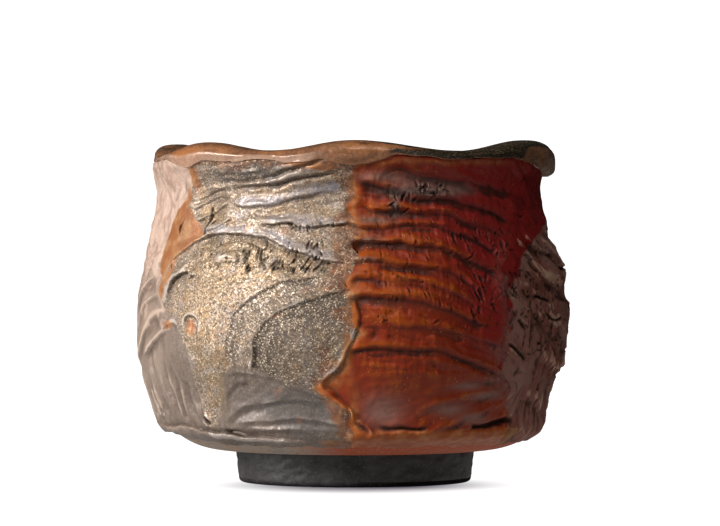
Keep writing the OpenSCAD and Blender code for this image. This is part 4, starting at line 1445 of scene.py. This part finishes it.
@dataclass
class LipRoll:
    """The thick wavy roll of glaze on the rim.

    It dips on the left, droops on the right, and has a rounded knob with a drawn-in ear at the far left. Each
    of these is given by its angle and width in degrees, and some by a size in millimetres.
    """

    form: CupForm
    relief: SlipRelief
    sides: int = 420
    section: int = 40
    overhang: float = 0.24
    dip: Span = (-79, 9)
    dip_depth: float = 0.55
    droop: Span = (84, 26)
    ear: Span = (-104, 9)
    ear_draw: float = 0.15
    knob: Span = (-98, 20)
    middle_h: float = 30.0
    crisp: float = 60

    def build(self, material: bpy.types.Material) -> None:
        """Shape a ring to the rim and dress it in a material."""
        clear_selection()
        bpy.ops.mesh.primitive_torus_add(major_segments=self.sides, minor_segments=self.section,
                                         major_radius=1.0, minor_radius=0.25)
        piece = bpy.context.object
        x, y, up = points_of(piece).T
        a = np.degrees(np.arctan2(x, -y))
        t = np.arctan2(up, np.hypot(x, y) - 1.0)
        ct, st = np.cos(t), np.sin(t)
        form, relief = self.form, self.relief
        inside = float(form.clay_r(form.rim_h - form.lip_roll_h / 2)) - form.wall - form.lip_in
        level = np.full_like(a, self.middle_h)
        lump = relief.read(relief.noise(9, 60, 3, 31), a, level)
        fold = relief.read(relief.noise(3.2, 60, 2, 32), a, level)
        droop, knob = hump(a, *self.droop), hump(a, *self.knob)
        top = form.rim_z(a) - self.dip_depth * hump(a, *self.dip)
        outside = form.lip_r(a) + 0.1 * lump - self.ear_draw * hump(a, *self.ear)
        band = top - form.hem_z(a) + 0.22 * fold
        square = 1 - 0.35 * droop - 0.16 * knob
        r = inside + (outside - inside) / 2 * (1 + np.sign(ct) * np.abs(ct) ** (0.85 * square))
        r = r + (0.12 * fold + 0.10 * lump) * np.maximum(ct, 0)
        z = top - 0.08 + band / 2 * (np.sign(st) * np.abs(st) ** (0.9 * square) - 1)
        z = z + np.minimum(0, 0.12 * lump * np.maximum(st, 0))
        skin = form.clay_r(z) + relief.read(relief.thickness, a, z) + self.overhang * (1 + 0.5 * fold)
        skin = np.maximum(skin, (outside - 0.9 * (top - z) / band) * droop)
        hug = ease(0.02, 0.25, ct) * ease(0.15, -0.1, st)
        r = r + hug * (1 - knob) * np.maximum(skin - r, 0)
        move_points(piece, polar(r, a, z))
        self.tell(piece, a, t)
        finish_piece(piece, "lip_glaze_roll", "lip_glaze", material, self.crisp)

    def tell(self, piece: bpy.types.Object, a: np.ndarray, t: np.ndarray) -> None:
        """Let the mesh carry where the glaze is dark and warm, and its pink, partly a painted highlight.

        Args:
            piece: the roll's object.
            a: angle of each point round the cup, in degrees.
            t: angle of each point round the roll's section, in radians.
        """
        ct, st = np.cos(t), np.sin(t)
        patchy = self.relief.read(self.relief.noise(5, 5, 3, 33), a, self.middle_h + 6 * t)
        front = ease(60, 48, a) * ease(-1.0, -0.6, st)
        end = ease(48, 60, a) * ease(122, 76, a + 14 * patchy) * ease(0.1, 0.6, st)
        dark = ease(2, 24, a + 9 * patchy) * (front + end) * (1 - 0.75 * ease(0.3, -0.6, ct + 0.3 * patchy))
        brim = 0.42 * ease(0.2, 0.9, st + 0.3 * patchy) * ease(-60, -40, a) * ease(20, 8, a)
        carry(piece, "run", np.clip(dark + brim + 0.48 * ease(-84, -92, a) * ease(-135, -112, a), 0, 1))
        carry(piece, "warm", np.clip(hump(a, -56, 8) * ease(0.9, 0, st) + 0.35 * hump(a, 4, 9), 0, 1))
        # Pink low on the roll and at its ends: partly the glaze's colour, partly a painted highlight.
        low = ease(0.35, -0.2, st)
        lip_highlight = 0.85 * low * hump(a, 76, 12) + 0.4 * low * hump(a, -2, 10)
        lip_highlight = lip_highlight + 0.8 * low * ease(-4, -16, a) * ease(-84, -74, a)
        lip_highlight = lip_highlight + 0.9 * ease(0.9, 0.2, st) * hump(a, -77, 11)
        carry(piece, "pink", np.clip(lip_highlight, 0, 1))


@dataclass
class TurnedRing:
    """A piece that is turned on the wheel: a closed section spun round the axis."""

    name: str
    node: str
    slot: str
    section: list[Span]
    steps: int = 240
    pit: float = 0.0
    crisp: float = 40

    def build(self, relief: SlipRelief, material: bpy.types.Material) -> None:
        """Spin the section.

        Args:
            relief: source of the surface's unevenness.
            material: the piece's finish.
        """
        clear_selection()
        bpy.ops.mesh.primitive_circle_add(vertices=len(self.section), radius=1, fill_type="NOTHING")
        piece = bpy.context.object
        move_points(piece, np.array([(r * MM, 0, z * MM) for r, z in self.section]))
        with editing():
            bpy.ops.mesh.spin(steps=self.steps, angle=2 * math.pi, center=(0, 0, 0), axis=(0, 0, 1))
            bpy.ops.mesh.select_all(action="SELECT")
            bpy.ops.mesh.remove_doubles(threshold=1e-6)
        x, y, z = points_of(piece).T
        a, r = np.degrees(np.arctan2(x, -y)), np.hypot(x, y) / MM
        if self.pit:
            shake = relief.read(relief.noise(2.2, 1.6, 4, 41), a, 10 + z / MM * 2 + r * 0.4)
            r = r - self.pit * np.clip(shake, -0.4, 1.0) * ease(0.2, 1.2, z / MM)
        move_points(piece, polar(r, a, z / MM))
        carry(piece, "run", np.zeros(len(a)))
        carry(piece, "warm", 0.95 * ease(-26, 0, a) * ease(110, 80, a))
        finish_piece(piece, self.name, self.node, material, self.crisp)


@dataclass(frozen=True)
class Lamp:
    """A square soft lamp: its place and the point that it faces in metres, its side, power and colour.

    Shines says whether glossy surfaces mirror it.
    """

    name: str
    place: Point
    aim: Point
    size: float
    power: float
    colour: Colour
    shines: bool = True

    def hang(self) -> None:
        """Add the lamp to the scene."""
        light = bpy.data.lights.new(self.name, "AREA")
        light.size, light.energy, light.color = self.size, self.power, self.colour
        holder = bpy.data.objects.new(self.name, light)
        holder.visible_camera = False
        holder.visible_glossy = self.shines
        bpy.context.scene.collection.objects.link(holder)
        holder.location = self.place
        way = np.array(self.aim) - np.array(self.place)
        lean = math.acos(-way[2] / np.linalg.norm(way))
        holder.rotation_euler = (lean, 0, math.atan2(way[1], way[0]) - math.pi / 2)


@dataclass
class Studio:
    """Plain white surroundings, soft lamps from the left and a level camera.

    The camera stands reach millimetres before the cup, at the height eye and a little aside. The floor is
    darker round the point shadow, over the distances in shadow_span, in metres. Each ring of the room is
    wider by the first number and higher by the second.
    """

    reach: float = 600.0
    eye: float = 35.3
    aside: float = 0.81
    lens: float = 185.1
    sensor: float = 36
    room_light: float = 0.03
    floor_grey: Colour = (0.22, 0.22, 0.22)
    room_grey: Colour = (0.9, 0.9, 0.9)
    shadow: Point = (0, -0.012, 0)
    shadow_span: Span = (0.0080, 0.0275)
    shadow_grey: Colour = (0.10, 0.095, 0.125)
    room_sides: int = 96
    room_drop: float = 0.004
    room_rings: Path = ((1.25, 0.05), (1.12, 0.15), (1.04, 0.3), (1.0, 1.2), (0.6, 0.6), (0.02, 0.1))
    lamps: tuple[Lamp, ...] = (
        Lamp("key", (-0.62, -0.36, 0.34), (0.0, 0.0, 0.030), 0.22, 7.7, (1.0, 0.965, 0.925)),
        Lamp("low_left", (-0.60, -0.12, 0.03), (0.0, 0.0, 0.006), 0.25, 1.9, (1.0, 0.98, 0.97)),
        Lamp("front_fill", (0.06, -0.55, 0.60), (0, 0, 0.03), 0.35, 1.7, (1.0, 0.97, 0.94)),
        Lamp("back_fill", (0.12, 0.66, 0.12), (0, 0, 0.03), 0.35, 2.2, (1.0, 0.98, 0.96), False),
        Lamp("floor_bounce", (-0.16, -0.17, 0.0006), (-0.16, -0.17, 1.0), 0.46, 0.25, (1.0, 0.97, 0.94)))

    def set_up(self) -> None:
        """Make the surroundings, the lamps and the camera."""
        self.backdrop()
        for lamp in self.lamps:
            lamp.hang()
        world = bpy.data.worlds.new("soft_room")
        world.use_nodes = True
        background = world.node_tree.nodes["Background"]
        background.inputs[0].default_value = (*WHITE, 1)
        background.inputs[1].default_value = self.room_light
        scene = bpy.context.scene
        scene.world = world
        scene.view_settings.view_transform = "Standard"
        camera = bpy.data.objects.new("camera", bpy.data.cameras.new("camera"))
        scene.collection.objects.link(camera)
        camera.location = (self.aside * MM, -self.reach * MM, self.eye * MM)
        camera.rotation_euler = (math.pi / 2, 0, 0)
        camera.data.sensor_width = self.sensor
        camera.data.lens = self.lens
        camera.data.clip_start = 0.01
        scene.camera = camera

    def backdrop(self) -> None:
        """Stand the cup on a pale floor in a white room."""
        clear_selection()
        bpy.ops.mesh.primitive_circle_add(vertices=self.room_sides, radius=1.0, fill_type="NGON")
        floor = bpy.context.object
        floor.name = floor.data.name = "pale_floor"
        d = GlazeDesk("pale_floor")
        away = d.node("ShaderNodeVectorMath", {"operation": "DISTANCE"}, {0: d.place, 1: self.shadow},
                      "Value")
        glow = d.blend(away.band(*self.shadow_span), self.shadow_grey, WHITE)
        floor.data.materials.append(d.fire(base_color=self.floor_grey, roughness=0.9, emission_color=glow,
                                           emission_strength=1.0))
        clear_selection()
        bpy.ops.mesh.primitive_circle_add(vertices=self.room_sides, radius=1.0, fill_type="NGON",
                                          location=(0, 0, -self.room_drop))
        room = bpy.context.object
        bpy.ops.object.transform_apply(location=True)
        with editing(inward=True):
            for grow, rise in self.room_rings:
                bpy.ops.mesh.extrude_region_move(TRANSFORM_OT_translate={"value": (0, 0, rise)})
                bpy.ops.transform.resize(value=(grow, grow, 1))
        room.name = room.data.name = "white_room"
        d = GlazeDesk("white_room")
        room.data.materials.append(d.fire(base_color=self.room_grey, roughness=0.9, emission_color=WHITE,
                                          emission_strength=1.0))
        for surface in (floor, room):
            surface.visible_diffuse = False
            surface.visible_glossy = False


def clay_line(form: CupForm, drop: float, bend: float = 2.0) -> list[Span]:
    """Give the underside's section from foot to skirt, lowered by drop; a larger bend keeps it flatter."""
    start, end = form.foot_top_r + 0.1, form.skirt_r + 0.6
    r = start + (end - start) * np.linspace(0, 1, 20)
    share = (r - form.foot_top_r) / (form.skirt_r - form.foot_top_r)
    z = form.foot_h + (form.skirt_h - form.foot_h) * share ** bend
    return [(float(p), float(q - drop)) for p, q in zip(r, z)]


def hollow_line(form: CupForm, coat: float) -> list[Span]:
    """Give the cup's inside section from its middle up to the lip, with a coat on it."""
    power = 2.6
    deep = form.knee_h - form.floor_h - coat
    low = form.floor_h + coat + deep * (1 - np.cos(np.pi / 2 * np.linspace(0, 1, 28)))
    z = np.concatenate([low, np.linspace(form.knee_h, form.rim_h - 2.4, 26)[1:]])
    round_in = np.clip((form.knee_h - z) / deep, 0, 1)
    r = (form.clay_r(z) - form.wall - coat) * (1 - round_in ** power) ** (1 / power)
    return [(float(max(p, 0.0)), float(q)) for p, q in zip(r, z)]


def foot_section(form: CupForm) -> list[Span]:
    """Give the foot ring's section with softened lower edges."""
    inner, outer, soft = form.foot_base_r - form.foot_wall, form.foot_base_r, 0.7
    turn = np.linspace(0, np.pi / 2, 6)
    left = [(inner + soft * (1 - math.sin(t)), soft * (1 - math.cos(t))) for t in turn[::-1]]
    right = [(outer - soft * (1 - math.sin(t)), soft * (1 - math.cos(t))) for t in turn]
    bottom = [(inner + soft + (outer - inner - 2 * soft) * s, 0.0) for s in (0.25, 0.5, 0.75)]
    wall = [(outer + (form.foot_top_r - outer) * s, soft + (form.foot_h - soft) * s)
            for s in np.linspace(0.06, 1, 16)]
    back = [(inner, form.foot_h - (form.foot_h - soft) * s) for s in np.linspace(0, 0.9, 9)]
    return left + bottom + right + wall + back


def main() -> None:
    """Build every piece, dress the clay and set up the studio."""
    logging.basicConfig(level=logging.INFO, format="%(name)s: %(message)s")
    form = CupForm()
    relief = TrowelWork(SlipRelief(form)).work()
    silver, red = SilverGlaze().make(), RedGlaze().make()
    brown = MattGlaze("brown_dry_glaze", body=(0.23, 0.083, 0.058), pale=(0.30, 0.155, 0.120),
                      deep=(0.050, 0.016, 0.011), edge=(0.60, 0.36, 0.26), blush=(0.25, 0.018, 0.016),
                      stain=(0.14, 0.018, 0.016), rough=0.6, grit=0.6, sheen=0.06, mottle=1.3).make()
    # The tan glaze's blush colour is pale pink, partly a painted highlight, high on the left panel.
    tan = MattGlaze("tan_dry_glaze", body=(0.265, 0.198, 0.158), pale=(0.33, 0.25, 0.20),
                    deep=(0.125, 0.088, 0.068), edge=(0.64, 0.49, 0.39), blush=(0.52, 0.375, 0.30),
                    stain=(0.30, 0.18, 0.135), rough=0.40, grit=0.8, sheen=0.5, mottle=1.6).make()
    panels = (("slip_panel_front_left", "silver_glaze", silver), ("slip_panel_front_right", "red_glaze", red),
              ("slip_panel_right", "brown_glaze", brown), ("slip_panel_back_right", "silver_glaze", silver),
              ("slip_panel_back_left", "red_glaze", red), ("slip_panel_left", "tan_glaze", tan))
    for number, (name, slot, material) in enumerate(panels):
        SlipPanel(form, relief, number, name, slot).build(material)
    LipRoll(form, relief).build(CopperGlaze("lip_copper_glaze").make())
    foot_clay = BareClay().make()
    foot = foot_section(form)
    TurnedRing("foot_ring_clay", "foot_ring", "foot_clay", foot, steps=300, pit=0.14).build(relief, foot_clay)
    under_glaze = CopperGlaze("underside_thin_glaze", body=(0.40, 0.33, 0.28), warm=(0.44, 0.31, 0.22),
                              dark=(0.08, 0.06, 0.045), blush=(0.42, 0.066, 0.015), gloss=0.5, speckle=0.4,
                              sheen=0.2).make()
    under = clay_line(form, COAT, 2.8) + clay_line(form, -0.05)[::-1]
    TurnedRing("underside_glaze_coat", "underside_glaze", "underside_glaze", under).build(relief, under_glaze)
    lining_glaze = CopperGlaze("lining_brown_glaze", body=(0.12, 0.055, 0.028), warm=(0.2, 0.085, 0.035),
                               dark=(0.03, 0.02, 0.012), blush=(0.22, 0.08, 0.03), gloss=0.22,
                               speckle=0.4).make()
    lining = hollow_line(form, COAT) + hollow_line(form, 0.0)[::-1]
    TurnedRing("lining_glaze_coat", "lining_glaze", "lining_glaze", lining, 200).build(relief, lining_glaze)
    bowl = bpy.data.objects["clay_bowl"]
    bowl.data.materials.clear()
    bowl.data.materials.append(foot_clay)
    Studio().set_up()


if __name__ == "__main__":
    main()
